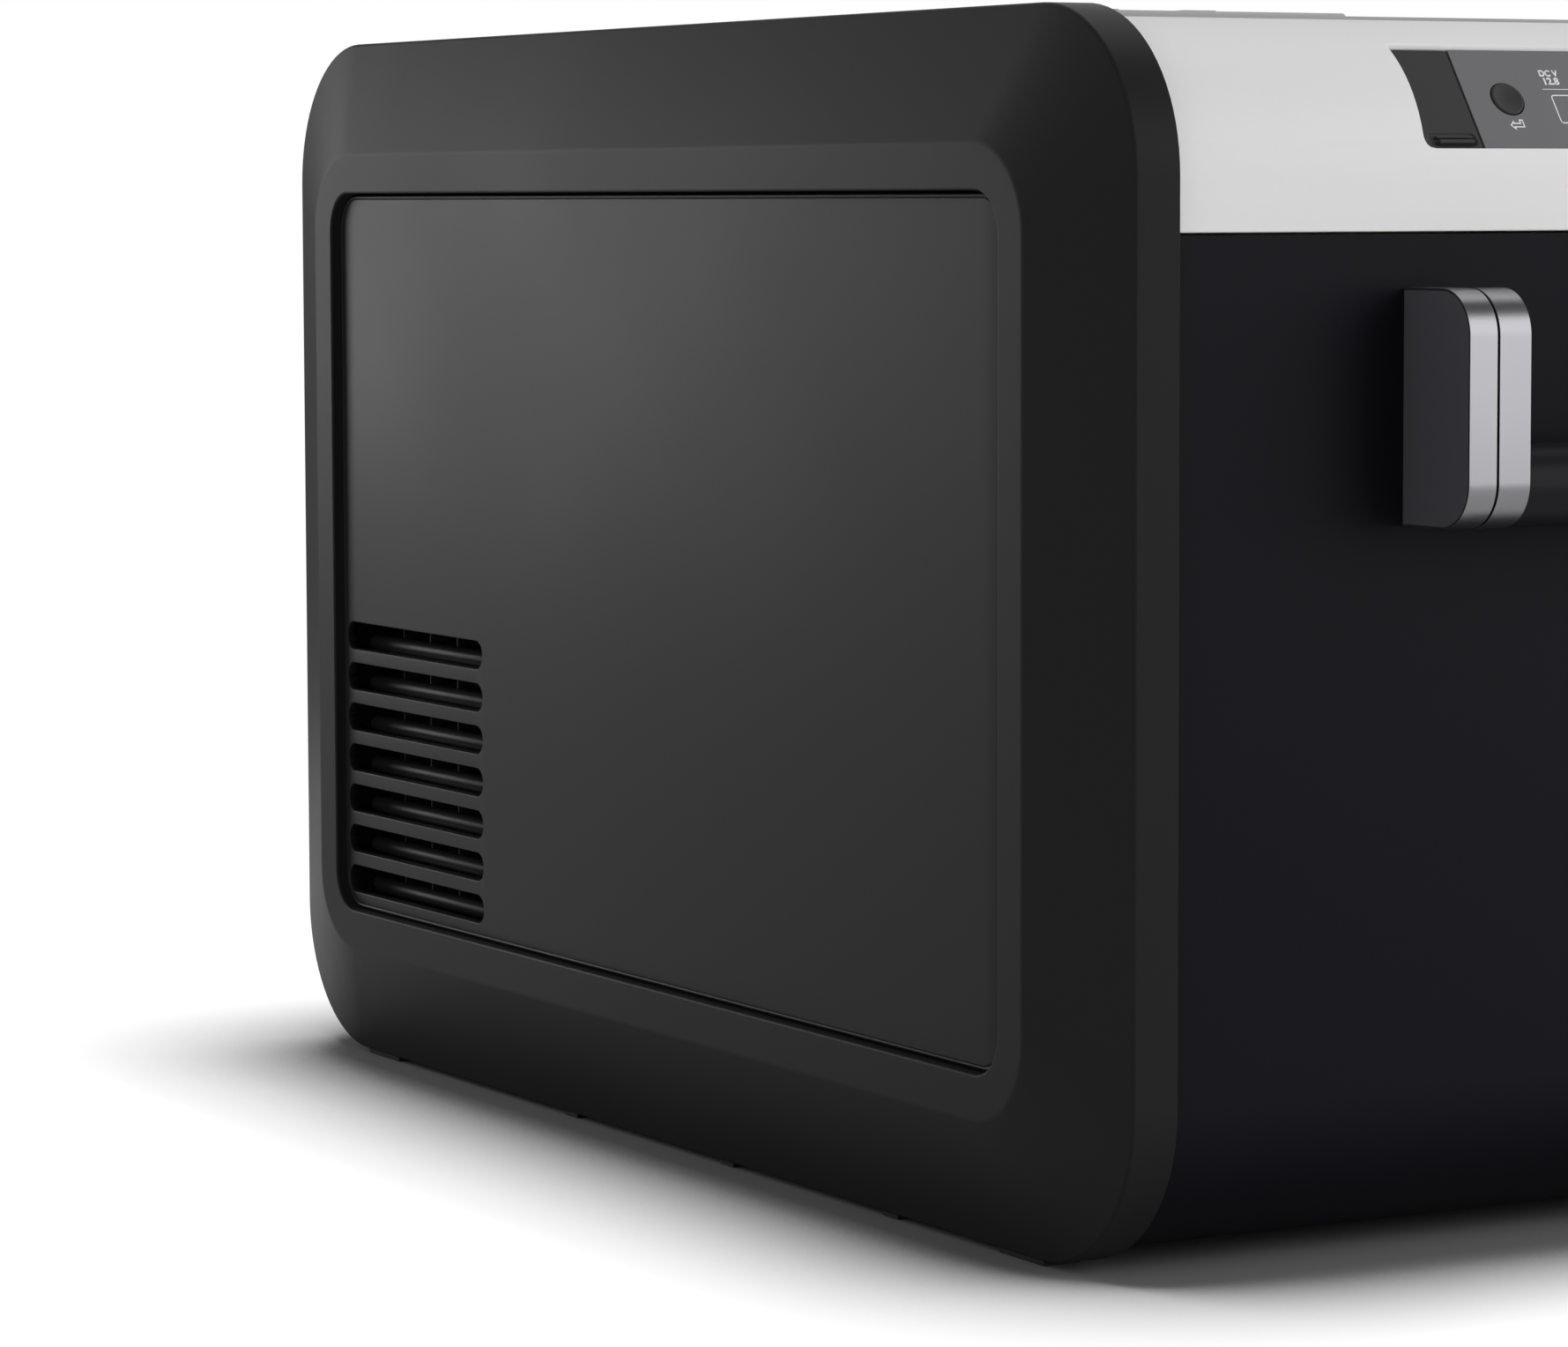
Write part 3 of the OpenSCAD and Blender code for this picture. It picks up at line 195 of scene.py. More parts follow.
# %% Finishes of the inside
liner_plastic = grained("white_polystyrene", "e9e9ea", "e6e6e7", 0.3, 2.0, 0.01)
deck_plastic = grained("grey_abs", "c9c9cb", "c6c6c8", 0.45, 0.8, 0.02)
steel = grained("turned_steel", "9d9da1", "8f8f94", 0.34, 0.6, 0.02, Metallic=1.0)
black_steel = grained("black_enamel", "202023", "262629", 0.35, 2.0, 0.01)
copper = grained("drawn_copper", "b87444", "a8683c", 0.32, 1.0, 0.01, Metallic=1.0)
evaporator_sheet = grained("rolled_aluminium", "bcbcc0", "b2b2b6", 0.4, 1.0, 0.02, Metallic=0.9)
foam = grained("polyurethane_foam", "e6dcb6", "dccf9f", 0.85, 1.4, 0.3)
gasket_foam = grained("gasket_rubber", "343436", "3a3a3c", 0.7, 0.7, 0.04)
lens_plastic = grained("frosted_lens", "f1f1ec", "ecece6", 0.4, 1.0, 0.01)
wire_coat = grained("coated_wire", "d4d4d6", "cdcdd0", 0.35, 1.2, 0.01)
screen_glass = grained("screen_glass", "2a2a2e", "2e2e32", 0.2, 3.0, 0.002)

FINISHES = {
    "frame_plastic": frame_plastic, "casing_coat": casing_coat, "collar_plastic": collar_plastic,
    "deck_plastic": deck_plastic, "liner_plastic": liner_plastic, "handle_aluminium": anodised,
    "dark_plastic": dark_plastic, "grip_plastic": grip_coat, "display_face": display_acrylic,
    "display_screen": screen_glass, "flap_rubber": flap_rubber, "black_rubber": black_rubber,
    "gasket_rubber": gasket_foam, "steel": steel, "black_steel": black_steel, "copper": copper,
    "evaporator_aluminium": evaporator_sheet, "foam": foam, "light_lens": lens_plastic,
    "wire_coat": wire_coat,
}
print("finishes:", len(FINISHES))

# %% [markdown]
# ## Modelling helpers
# New pieces are drawn in millimetres and scaled to metres once, when they are finished. Most of them are
# mouldings that face the reader (towards -Y): a stack of rounded outlines, each a little further back
# than the last, with a skin bridged between them.

# %% Outlines, skins and finished pieces


def box_mm(node):
    """Lowest and highest corner of a construction node, in millimetres."""
    low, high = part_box(node)
    return Vector(low) / MM, Vector(high) / MM


def outline_loop(bm, x0, z0, x1, z1, radius, y, segments=12):
    """A loop of edges: a rounded rectangle in X and Z at depth y."""
    others = set(bm.faces)
    verts = bmesh.ops.create_grid(bm, x_segments=1, y_segments=1, size=0.5)["verts"]
    bmesh.ops.scale(bm, vec=(x1 - x0, z1 - z0, 1), verts=verts)
    bmesh.ops.rotate(bm, cent=(0, 0, 0), matrix=Matrix.Rotation(math.radians(90), 3, "X"), verts=verts)
    bmesh.ops.translate(bm, vec=((x0 + x1) / 2, y, (z0 + z1) / 2), verts=verts)
    bmesh.ops.bevel(bm, geom=verts, offset=radius, offset_type="OFFSET", segments=segments, profile=0.5,
                    affect="VERTICES", material=-1)
    face = next(f for f in bm.faces if f not in others)
    edges = list(face.edges)
    bmesh.ops.delete(bm, geom=[face], context="FACES_ONLY")
    return edges


def bridge(bm, loops):
    """Skins each loop to the next one."""
    for first, second in zip(loops, loops[1:]):
        bmesh.ops.bridge_loops(bm, edges=first + second)


def round_edges(bm, edges, offset, segments=4):
    """Rounds edges whose faces are already in place."""
    bmesh.ops.bevel(bm, geom=edges, offset=offset, offset_type="OFFSET", segments=segments, profile=0.5,
                    affect="EDGES", material=-1)


def rounded_block(bm, low, high, radius, segments=3):
    """A box between two corners with all its edges rounded."""
    size, middle = Vector(high) - Vector(low), (Vector(high) + Vector(low)) / 2
    verts = bmesh.ops.create_cube(bm, size=1)["verts"]
    bmesh.ops.scale(bm, vec=size, verts=verts)
    bmesh.ops.translate(bm, vec=middle, verts=verts)
    edges = {e for v in verts for e in v.link_edges}
    round_edges(bm, list(edges), radius, segments)


def finish_piece(bm, name, material, body, replaces=(), place=None):
    """Closes a piece: merges doubles, turns its faces outwards, places it and hands it to its body."""
    bmesh.ops.remove_doubles(bm, verts=bm.verts, dist=0.001)
    bmesh.ops.recalc_face_normals(bm, faces=bm.faces)
    if place:
        bmesh.ops.transform(bm, matrix=place, verts=bm.verts)
    bmesh.ops.scale(bm, vec=(MM, MM, MM), verts=bm.verts)
    mesh = bpy.data.meshes.new(name)
    bm.to_mesh(mesh)
    bm.free()
    mesh.materials.append(material)
    for polygon in mesh.polygons:
        polygon.use_smooth = True
    obj = bpy.data.objects.new(name, mesh)
    bpy.context.scene.collection.objects.link(obj)
    obj.modifiers.new("even_shading", "WEIGHTED_NORMAL").keep_sharp = True
    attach(obj, body)
    if replaces:
        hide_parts(*replaces)
    print(name, len(mesh.polygons), "faces")
    return obj


def flip_to(side):
    """Placing matrix for the left (-1) or the right (1) copy of a piece that was drawn on the left."""
    return Matrix.Diagonal((1, -side, 1, 1)) if side > 0 else Matrix.Identity(4)


# %% [markdown]
# ## Side frames
# Each long side carries one large moulding: an upright rim, a shallow slope up to a raised face, and a
# rounded opening with a ledge for the panel. The slope's corners blend a 55 mm radius into a 30 mm one,
# which a skin between two outlines with equally many points gives by itself. The crease between rim and
# slope is crisp, while the raised face ends in a soft shoulder.

# %% The side frames
frame_low, frame_high = box_mm("side_frame_left")
PANEL_SET = 5.5
FACE_Y, BACK_Y = frame_low.y, frame_high.y
RIM_Y = FACE_Y + 14.1
LEDGE_Y = FACE_Y + PANEL_SET + 3
WALL = 3
OUTER_RADIUS, FACE_INSET, FACE_RADIUS = 55, 44, 30
OPEN_INSET, OPEN_RADIUS, LEDGE_W = 59, 15, 2.5
BACK_EDGE, RIM_EDGE, FACE_EDGE = 0.5, 1.0, 0.9


def frame_loop(bm, inset, radius, y, segments=20):
    return outline_loop(bm, frame_low.x + inset, frame_low.z + inset, frame_high.x - inset,
                        frame_high.z - inset, radius, y, segments)


def side_frame(name, side):
    bm = bmesh.new()
    back = frame_loop(bm, 0, OUTER_RADIUS, BACK_Y)
    rim = frame_loop(bm, 0, OUTER_RADIUS, RIM_Y)
    face = frame_loop(bm, FACE_INSET, FACE_RADIUS, FACE_Y)
    opening = frame_loop(bm, OPEN_INSET, OPEN_RADIUS, FACE_Y)
    ledge = frame_loop(bm, OPEN_INSET, OPEN_RADIUS, LEDGE_Y)
    ledge_edge = frame_loop(bm, OPEN_INSET + LEDGE_W, OPEN_RADIUS - 2, LEDGE_Y)
    ledge_back = frame_loop(bm, OPEN_INSET + LEDGE_W, OPEN_RADIUS - 2, LEDGE_Y + WALL)
    inner_ledge = frame_loop(bm, OPEN_INSET - WALL, OPEN_RADIUS + WALL, LEDGE_Y + WALL)
    inner_face = frame_loop(bm, OPEN_INSET - WALL, OPEN_RADIUS + WALL, FACE_Y + WALL)
    inner_slope = frame_loop(bm, FACE_INSET + 1, FACE_RADIUS - 1, FACE_Y + WALL)
    inner_rim = frame_loop(bm, WALL, OUTER_RADIUS - WALL, RIM_Y + 2.3)
    inner_back = frame_loop(bm, WALL, OUTER_RADIUS - WALL, BACK_Y)
    bridge(bm, [back, rim, face, opening, ledge, ledge_edge, ledge_back, inner_ledge, inner_face,
                inner_slope, inner_rim, inner_back, back])
    round_edges(bm, back, BACK_EDGE, 3)
    round_edges(bm, rim, RIM_EDGE, 5)
    round_edges(bm, face, FACE_EDGE, 5)
    round_edges(bm, opening, FACE_EDGE, 5)
    web_x = box_mm("lid_shell")[1].x
    web_low = (-web_x, BACK_Y - WALL, frame_high.z - OPEN_INSET)
    rounded_block(bm, web_low, (web_x, BACK_Y, frame_high.z - 2.5), 0.4)
    return finish_piece(bm, name, frame_plastic, "cabinet", [name], flip_to(side))


side_frame("side_frame_left", -1).name = "side_frame_left_moulding"
side_frame("side_frame_right", 1).name = "side_frame_right_moulding"

# %% [markdown]
# ## Side panels
# The panel is a flat plate with softened edges and a fine groove just inside its border, which the
# photograph shows as a second dark line. It stands 1.7 mm prouder than the construction plate, because
# the photograph's gap round it is shallow. Seven slots pierce its lower rear corner. The front is filled
# between the border and the slots in one go, and each slot's rim turns inwards over three small steps.

# %% The plate with its slots
panel_low, panel_high = box_mm("side_panel_left")
PANEL_PROUD = 1.7
PANEL_Y = panel_low.y - PANEL_PROUD
PLATE_T = 3 + PANEL_PROUD
SLOT_COUNT, SLOT_L, SLOT_H, SLOT_PITCH, SLOT_EDGE, SLOT_FOOT = 7, 122.5, 10.7, 16.2, 3, 5.6
slot_x0 = panel_low.x + SLOT_EDGE
slot_z0 = panel_low.z + SLOT_FOOT + SLOT_H / 2
LIP, LIP_STEP = 0.5, 0.15
GROOVE_INSET, GROOVE_DEPTH = 1.1, 0.6


def panel_loop(bm, inset, y):
    return outline_loop(bm, panel_low.x + inset, panel_low.z + inset, panel_high.x - inset,
                        panel_high.z - inset, OPEN_RADIUS - 1 - inset, y, 16)


def slot_loop(bm, index, grow, y):
    z = slot_z0 + index * SLOT_PITCH
    half = SLOT_H / 2 + grow
    return outline_loop(bm, slot_x0 - grow, z - half, slot_x0 + SLOT_L + grow, z + half, half - 0.01, y, 8)


def plate(bm):
    border = [panel_loop(bm, 0, PANEL_Y + PLATE_T), panel_loop(bm, 0, PANEL_Y + LIP),
              panel_loop(bm, LIP_STEP, PANEL_Y + LIP_STEP), panel_loop(bm, LIP, PANEL_Y)]
    for inset, depth in ((0, 0), (0.1, GROOVE_DEPTH), (0.4, GROOVE_DEPTH), (0.5, 0)):
        border.append(panel_loop(bm, GROOVE_INSET + inset, PANEL_Y + depth))
    bridge(bm, border)
    fronts, backs = [], []
    for i in range(SLOT_COUNT):
        rims = [slot_loop(bm, i, LIP, PANEL_Y), slot_loop(bm, i, LIP_STEP, PANEL_Y + LIP_STEP),
                slot_loop(bm, i, 0, PANEL_Y + LIP), slot_loop(bm, i, 0, PANEL_Y + PLATE_T)]
        bridge(bm, rims)
        fronts += rims[0]
        backs += rims[-1]
    bmesh.ops.triangle_fill(bm, use_beauty=True, use_dissolve=False, edges=border[-1] + fronts)
    bmesh.ops.triangle_fill(bm, use_beauty=True, use_dissolve=False, edges=border[0] + backs)


# %% [markdown]
# ### Louvres
# Behind the slots lie rounded bars, tied by upright ribs, and from each bar a blade slopes up and back,
# which lets air out and keeps spray away. The bars are short cylinders and the blades thin boxes, all
# made by one step for each slot. Bars and ribs belong to the panel. The blades and the box round them are
# a piece of their own, coloured near-black, which is painted shade for the dark between the slots.

# %% Louvres behind the slots
LOUVRE_SET, LOUVRE_T, LOUVRE_DROP, BLADE_SLOPE = 13, 6.4, 3.7, 25
RIB_COUNT, RIB_T, BOX_T = 4, 1, 1.5


def turned(bm, verts, degrees, axis, place):
    bmesh.ops.rotate(bm, cent=(0, 0, 0), matrix=Matrix.Rotation(math.radians(degrees), 3, axis), verts=verts)
    bmesh.ops.translate(bm, vec=place, verts=verts)


def louvre_box(bm):
    """The frame round the louvres: an outer and an inner wall."""
    top = slot_z0 + (SLOT_COUNT - 1) * SLOT_PITCH + SLOT_H / 2
    loops = []
    for grow, y in ((BOX_T, PANEL_Y + PLATE_T), (BOX_T, panel_high.y), (0, panel_high.y),
                    (0, PANEL_Y + PLATE_T)):
        loops.append(outline_loop(bm, slot_x0 - grow, panel_low.z + SLOT_EDGE - grow,
                                  slot_x0 + SLOT_L + grow, top + grow, 9 + grow, y, 6))
    bridge(bm, loops + loops[:1])


louvre_y = PANEL_Y + LOUVRE_SET
louvre_x = slot_x0 + SLOT_L / 2


def louvre_place(index):
    return louvre_x, louvre_y, slot_z0 + index * SLOT_PITCH - LOUVRE_DROP


def louvre_bars(bm):
    """The rounded fronts of the louvres, tied by thin upright ribs."""
    for i in range(SLOT_COUNT):
        bar = bmesh.ops.create_cone(bm, cap_ends=True, cap_tris=False, segments=24, radius1=LOUVRE_T / 2,
                                    radius2=LOUVRE_T / 2, depth=SLOT_L + BOX_T)["verts"]
        turned(bm, bar, 90, "Y", louvre_place(i))
    for k in range(1, RIB_COUNT + 1):
        x = slot_x0 + k * SLOT_L / (RIB_COUNT + 1)
        top = slot_z0 + (SLOT_COUNT - 0.5) * SLOT_PITCH - LOUVRE_DROP
        rib_low = (x, louvre_y, panel_low.z + SLOT_EDGE)
        rounded_block(bm, rib_low, (x + RIB_T, panel_high.y - 0.5, top), 0.2, 1)


def louvre_blades(name, side):
    """The blades slope up and back from the bars, between the walls of their box; blades and box are coloured
    near-black, which is painted shade.
    """
    bm = bmesh.new()
    louvre_box(bm)
    depth = panel_high.y - louvre_y
    for i in range(SLOT_COUNT):
        blade = bmesh.ops.create_cube(bm, size=1)["verts"]
        bmesh.ops.scale(bm, vec=(SLOT_L + BOX_T, depth, 2), verts=blade)
        bmesh.ops.translate(bm, vec=(0, depth / 2, 0), verts=blade)
        turned(bm, blade, BLADE_SLOPE, "X", louvre_place(i))
    # Blades and box take the near-black colour, which is painted shade.
    return finish_piece(bm, name, painted_shade_plastic, "cabinet", (), flip_to(side))


def side_panel(name, side):
    bm = bmesh.new()
    plate(bm)
    louvre_bars(bm)
    return finish_piece(bm, name, panel_plastic, "cabinet", [name], flip_to(side))


side_panel("side_panel_left", -1).name = "side_panel_left_plate"
side_panel("side_panel_right", 1).name = "side_panel_right_plate"
louvre_blades("louvre_blades_left", -1)
louvre_blades("louvre_blades_right", 1)

# %% [markdown]
# ## Display
# The display leans back by 34 degrees in a recess of the light collar. Its pieces are drawn like the
# panel, facing the reader, and one matrix then carries them onto the slope: X along the face, Z up it,
# and -Y out of it.

# %% The slope's own frame
collar_low, collar_high = box_mm("front_collar")
CROWN_R, DISPLAY_DROP, DISPLAY_TILT, FACE_DEPTH = 52, 46, 34, 1
display_z = frame_high.z - DISPLAY_DROP
crown_centre = Vector((collar_high.x - CROWN_R, 0, collar_high.z - CROWN_R))
display_x = crown_centre.x + math.sqrt(CROWN_R ** 2 - (display_z - crown_centre.z) ** 2)
leaned_back = Matrix.Rotation(math.radians(-DISPLAY_TILT), 4, "Y")
facing_front = Matrix.Rotation(math.radians(90), 4, "Z")
ON_DISPLAY = Matrix.Translation((display_x, 0, display_z)) @ leaned_back @ facing_front
print("display foot at", round(display_x, 2), round(display_z, 2))

# %% [markdown]
# ### Buttons
# Two round rubber buttons with dished tops. The profile of half a button is spun round its axis.

# %% The two buttons
BUTTON_R, BUTTON_X, BUTTON_Z = 6, 32.5, 19.7
DISH_R, DISH_STEPS, BUTTON_LIP, BUTTON_PROUD, BUTTON_FOOT = 24, 6, 0.9, 0.5, 1.6


def dished_button(bm, x):
    """Half a profile from the middle of the dish over the lip to the foot, spun round the axis."""
    lip = BUTTON_R - BUTTON_LIP
    sink = DISH_R - math.sqrt(DISH_R ** 2 - lip ** 2)
    profile = []
    for k in range(DISH_STEPS + 1):
        r = lip * k / DISH_STEPS
        profile.append((r, BUTTON_PROUD - 0.1 - sink + DISH_R - math.sqrt(DISH_R ** 2 - r ** 2)))
    profile += [(lip + 0.35, BUTTON_PROUD), (BUTTON_R - 0.15, BUTTON_PROUD - 0.2),
                (BUTTON_R, BUTTON_PROUD - 0.6), (BUTTON_R, -BUTTON_FOOT), (0, -BUTTON_FOOT)]
    verts = [bm.verts.new((x + r, FACE_DEPTH - height, BUTTON_Z)) for r, height in profile]
    edges = [bm.edges.new(pair) for pair in zip(verts, verts[1:])]
    bmesh.ops.spin(bm, geom=verts + edges, cent=(x, 0, BUTTON_Z), axis=(0, 1, 0), dvec=(0, 0, 0),
                   angle=math.tau, steps=40, use_merge=True, use_normal_flip=False, use_duplicate=False)


for node, x in (("power_button", -BUTTON_X), ("menu_button", BUTTON_X)):
    bm = bmesh.new()
    dished_button(bm, x)
    finish_piece(bm, node + "_dished", button_rubber, node, [node], ON_DISPLAY)

# %% [markdown]
# ### Flap over the charging socket
# A rubber flap fills the left end of the recess. Its foot has a sunken pocket with a small bar, where a
# fingernail lifts it. Its top edge is round, because it turns about it.

# %% The flap
FLAP_X0, FLAP_X1, FLAP_Z0, FLAP_Z1, FLAP_T = -72.6, -49.5, 0.4, 38.6, 2
POCKET_X0, POCKET_X1, POCKET_Z0, POCKET_Z1, POCKET_DEPTH = -69.6, -51.2, 1.2, 6.4, 1.1
flap_y = FACE_DEPTH


def flap_loop(bm, inset, y):
    return outline_loop(bm, FLAP_X0 + inset, FLAP_Z0 + inset, FLAP_X1 - inset, FLAP_Z1 - inset,
                        1.4 - inset, y, 5)


def pocket_loop(bm, inset, y):
    return outline_loop(bm, POCKET_X0 + inset, POCKET_Z0 + inset, POCKET_X1 - inset, POCKET_Z1 - inset,
                        1.6 - inset, y, 5)


bm = bmesh.new()
rim = [flap_loop(bm, inset, flap_y + depth)
       for inset, depth in ((0.2, FLAP_T), (0, FLAP_T - 0.3), (0, 0.4), (0.08, 0.08), (0.25, 0))]
pocket = [pocket_loop(bm, inset, flap_y + depth)
          for inset, depth in ((-0.3, 0), (0, 0.3), (0.4, POCKET_DEPTH))]
bridge(bm, rim)
bridge(bm, pocket)
bmesh.ops.triangle_fill(bm, use_beauty=True, use_dissolve=False, edges=rim[-1] + pocket[0])
bmesh.ops.triangle_fill(bm, use_beauty=True, use_dissolve=False, edges=rim[0])
bmesh.ops.triangle_fill(bm, use_beauty=True, use_dissolve=False, edges=pocket[-1])
rounded_block(bm, (POCKET_X0 + 3.4, flap_y - 0.9, POCKET_Z0 + 1.0),
              (POCKET_X1 - 1.2, flap_y + 1.4, POCKET_Z0 + 2.3), 0.4)
rounded_block(bm, (POCKET_X0 + 3.0, flap_y - 0.3, POCKET_Z0 + 3.2),
              (POCKET_X1 - 0.8, flap_y + 1.4, POCKET_Z0 + 4.0), 0.3)
finish_piece(bm, "usb_cover_flap", flap_rubber, "usb_cover", ["usb_cover"], ON_DISPLAY)

# %% [markdown]
# ### Printed marks
# The overlay is printed in white: the outline of the screen's window, a line above it, a voltage reading,
# and a plain return arrow and a cogwheel under the buttons. Each mark is a flat shape a few hundredths of
# a millimetre proud of the overlay, so that it needs no image.

# %% Outline, lines and icons on the overlay
INK_T = 0.05
ink_y = FACE_DEPTH - INK_T


def raise_ink(bm, faces):
    """Gives flat faces the thickness of the ink."""
    grown = bmesh.ops.extrude_face_region(bm, geom=faces)["geom"]
    verts = [v for v in grown if isinstance(v, bmesh.types.BMVert)]
    bmesh.ops.translate(bm, vec=(0, INK_T * 0.9, 0), verts=verts)


def ink_ring(bm, x0, z0, x1, z1, radius, width):
    outer = outline_loop(bm, x0, z0, x1, z1, radius, ink_y, 8)
    inner = outline_loop(bm, x0 + width, z0 + width, x1 - width, z1 - width, radius - width, ink_y, 8)
    raise_ink(bm, bmesh.ops.bridge_loops(bm, edges=outer + inner)["faces"])


def ink_bar(bm, x0, z0, x1, z1):
    loop = outline_loop(bm, x0, z0, x1, z1, min(x1 - x0, z1 - z0) * 0.4, ink_y, 2)
    raise_ink(bm, [g for g in bmesh.ops.triangle_fill(bm, use_beauty=True, edges=loop)["geom"]
                   if isinstance(g, bmesh.types.BMFace)])


def ink_arrow(bm, x, z, size, width):
    """The outline of a hooked return arrow, as wide as size."""
    corners = [(-0.5, -0.02), (-0.17, 0.32), (-0.17, 0.15), (0.22, 0.15), (0.22, 0.38), (0.5, 0.38),
               (0.5, -0.17), (-0.17, -0.17), (-0.17, -0.36)]
    face = bm.faces.new([bm.verts.new((x + size * u, ink_y, z + size * v)) for u, v in corners])
    face.normal_update()
    ring = bmesh.ops.inset_individual(bm, faces=[face], thickness=width, use_even_offset=True)["faces"]
    bmesh.ops.delete(bm, geom=[face], context="FACES_ONLY")
    raise_ink(bm, ring)


def ink_cogwheel(bm, x, z, radius, width):
    """A plain ring with six short teeth, the usual sign for settings."""
    ink_ring(bm, x - radius, z - radius, x + radius, z + radius, radius - 0.01, width)
    for k in range(6):
        start = len(bm.verts)
        ink_bar(bm, x - width / 2, z + radius, x + width / 2, z + radius + width)
        bm.verts.ensure_lookup_table()
        step = Matrix.Rotation(k * math.tau / 6, 3, "Y")
        bmesh.ops.rotate(bm, cent=(x, 0, z), matrix=step, verts=bm.verts[start:])


bm = bmesh.new()
WINDOW_X, WINDOW_Z0, WINDOW_Z1, LINE_Z, LINE_X = 14.6, 10.3, 21.5, 23.6, 16.8
ink_ring(bm, -WINDOW_X, WINDOW_Z0, WINDOW_X, WINDOW_Z1, 1.2, 0.42)
ink_bar(bm, -LINE_X, LINE_Z, LINE_X, LINE_Z + 0.22)
ink_arrow(bm, -BUTTON_X, 9.6, 5.6, 0.42)
ink_cogwheel(bm, BUTTON_X, 9.3, 1.5, 0.4)
finish_piece(bm, "display_marks", white_ink, "cabinet", (), ON_DISPLAY)

# %% [markdown]
# The digits come from Blender's own font. The text object becomes a mesh before it is placed, so the
# finished piece has its place in its mesh like every other piece.

# %% Voltage reading
TEXT_X, TEXT_STEP = -16, 3.3


def lettering(name, words, x, z, size, align="LEFT"):
    """A line of text on the overlay, as a thin mesh."""
    curve = bpy.data.curves.new(name, "FONT")
    curve.body = words
    curve.size = size
    curve.extrude = INK_T / 2
    curve.offset = 0.035 * size
    curve.align_x = align
    text = bpy.data.objects.new(name, curve)
    bpy.context.scene.collection.objects.link(text)
    mesh = bpy.data.meshes.new_from_object(text.evaluated_get(bpy.context.evaluated_depsgraph_get()))
    bpy.data.objects.remove(text)
    bm = bmesh.new()
    bm.from_mesh(mesh)
    bpy.data.meshes.remove(mesh)
    upright = Matrix.Translation((x, ink_y, z)) @ Matrix.Rotation(math.radians(90), 4, "X")
    bmesh.ops.transform(bm, matrix=upright, verts=bm.verts)
    return finish_piece(bm, name, white_ink, "cabinet", (), ON_DISPLAY)


lettering("reading_unit", "DC V", TEXT_X, 28.9, 3.2)
lettering("reading_value", "12.8", TEXT_X + 0.4, 28.9 - TEXT_STEP, 3.8)
lettering("reading_cold", "4", 0, 12.6, 8, "CENTER")

# %% [markdown]
# ## Wire basket
# The basket in the vat is bent from plastic-coated wire: hoops round its walls, and wires that run down
# one wall, across the floor and up the other. A circle is pushed along each straight run and spun round
# each bend. The construction model only has flat grids, which this piece replaces.

# %% The basket
basket_low, basket_high = box_mm("wire_basket")
WIRE_R, BEND_R, HOOP_GAP = 1.5, 16, 3.2


def wire(bm, start, direction, moves):
    """A wire that starts at a point and follows runs (a vector) and bends (a centre, an axis, degrees)."""
    made = bmesh.ops.create_circle(bm, cap_ends=False, segments=8, radius=WIRE_R)["verts"]
    turn = Vector(direction).to_track_quat("Z", "Y").to_matrix()
    bmesh.ops.rotate(bm, cent=(0, 0, 0), matrix=turn, verts=made)
    bmesh.ops.translate(bm, vec=start, verts=made)
    edges = list({e for v in made for e in v.link_edges})
    for move in moves:
        if len(move) == 1:
            grown = bmesh.ops.extrude_edge_only(bm, edges=edges)["geom"]
            verts = [g for g in grown if isinstance(g, bmesh.types.BMVert)]
            bmesh.ops.translate(bm, vec=move[0], verts=verts)
        else:
            centre, axis, degrees = move
            grown = bmesh.ops.spin(bm, geom=edges, cent=centre, axis=axis, dvec=(0, 0, 0),
                                   angle=math.radians(degrees), steps=6, use_merge=False,
                                   use_normal_flip=False, use_duplicate=False)["geom_last"]
            verts = [g for g in grown if isinstance(g, bmesh.types.BMVert)]
        inside = set(verts)
        edges = list({e for v in verts for e in v.link_edges if set(e.verts) <= inside})


def hoop(bm, z):
    """A closed hoop round the basket at height z."""
    x0, x1 = basket_low.x + WIRE_R, basket_high.x - WIRE_R
    y0, y1 = basket_low.y + WIRE_R, basket_high.y - WIRE_R
    run_x, run_y = x1 - x0 - 2 * BEND_R, y1 - y0 - 2 * BEND_R
    wire(bm, (x0 + BEND_R, y0, z), (1, 0, 0), [
        (Vector((run_x, 0, 0)),), ((x1 - BEND_R, y0 + BEND_R, z), (0, 0, 1), 90),
        (Vector((0, run_y, 0)),), ((x1 - BEND_R, y1 - BEND_R, z), (0, 0, 1), 90),
        (Vector((-run_x, 0, 0)),), ((x0 + BEND_R, y1 - BEND_R, z), (0, 0, 1), 90),
        (Vector((0, -run_y, 0)),), ((x0 + BEND_R, y0 + BEND_R, z), (0, 0, 1), 90)])


def cradle_wire(bm, at, across):
    """A wire down one wall, across the floor and up the other; across is 'X' or 'Y'."""
    floor_z = basket_low.z + WIRE_R
    top = basket_high.z - WIRE_R
    low, high = (basket_low.x, basket_high.x) if across == "X" else (basket_low.y, basket_high.y)
    a, b = low + HOOP_GAP + WIRE_R, high - HOOP_GAP - WIRE_R
    down, run = floor_z + BEND_R - top, b - a - 2 * BEND_R

    def point(u, z):
        return Vector((u, at, z)) if across == "X" else Vector((at, u, z))

    axis = (0, -1, 0) if across == "X" else (1, 0, 0)
    wire(bm, point(a, top), (0, 0, -1), [
        (Vector((0, 0, down)),), (point(a + BEND_R, floor_z + BEND_R), axis, 90),
        (point(run, 0) - point(0, 0),), (point(b - BEND_R, floor_z + BEND_R), axis, 90),
        (Vector((0, 0, -down)),)])


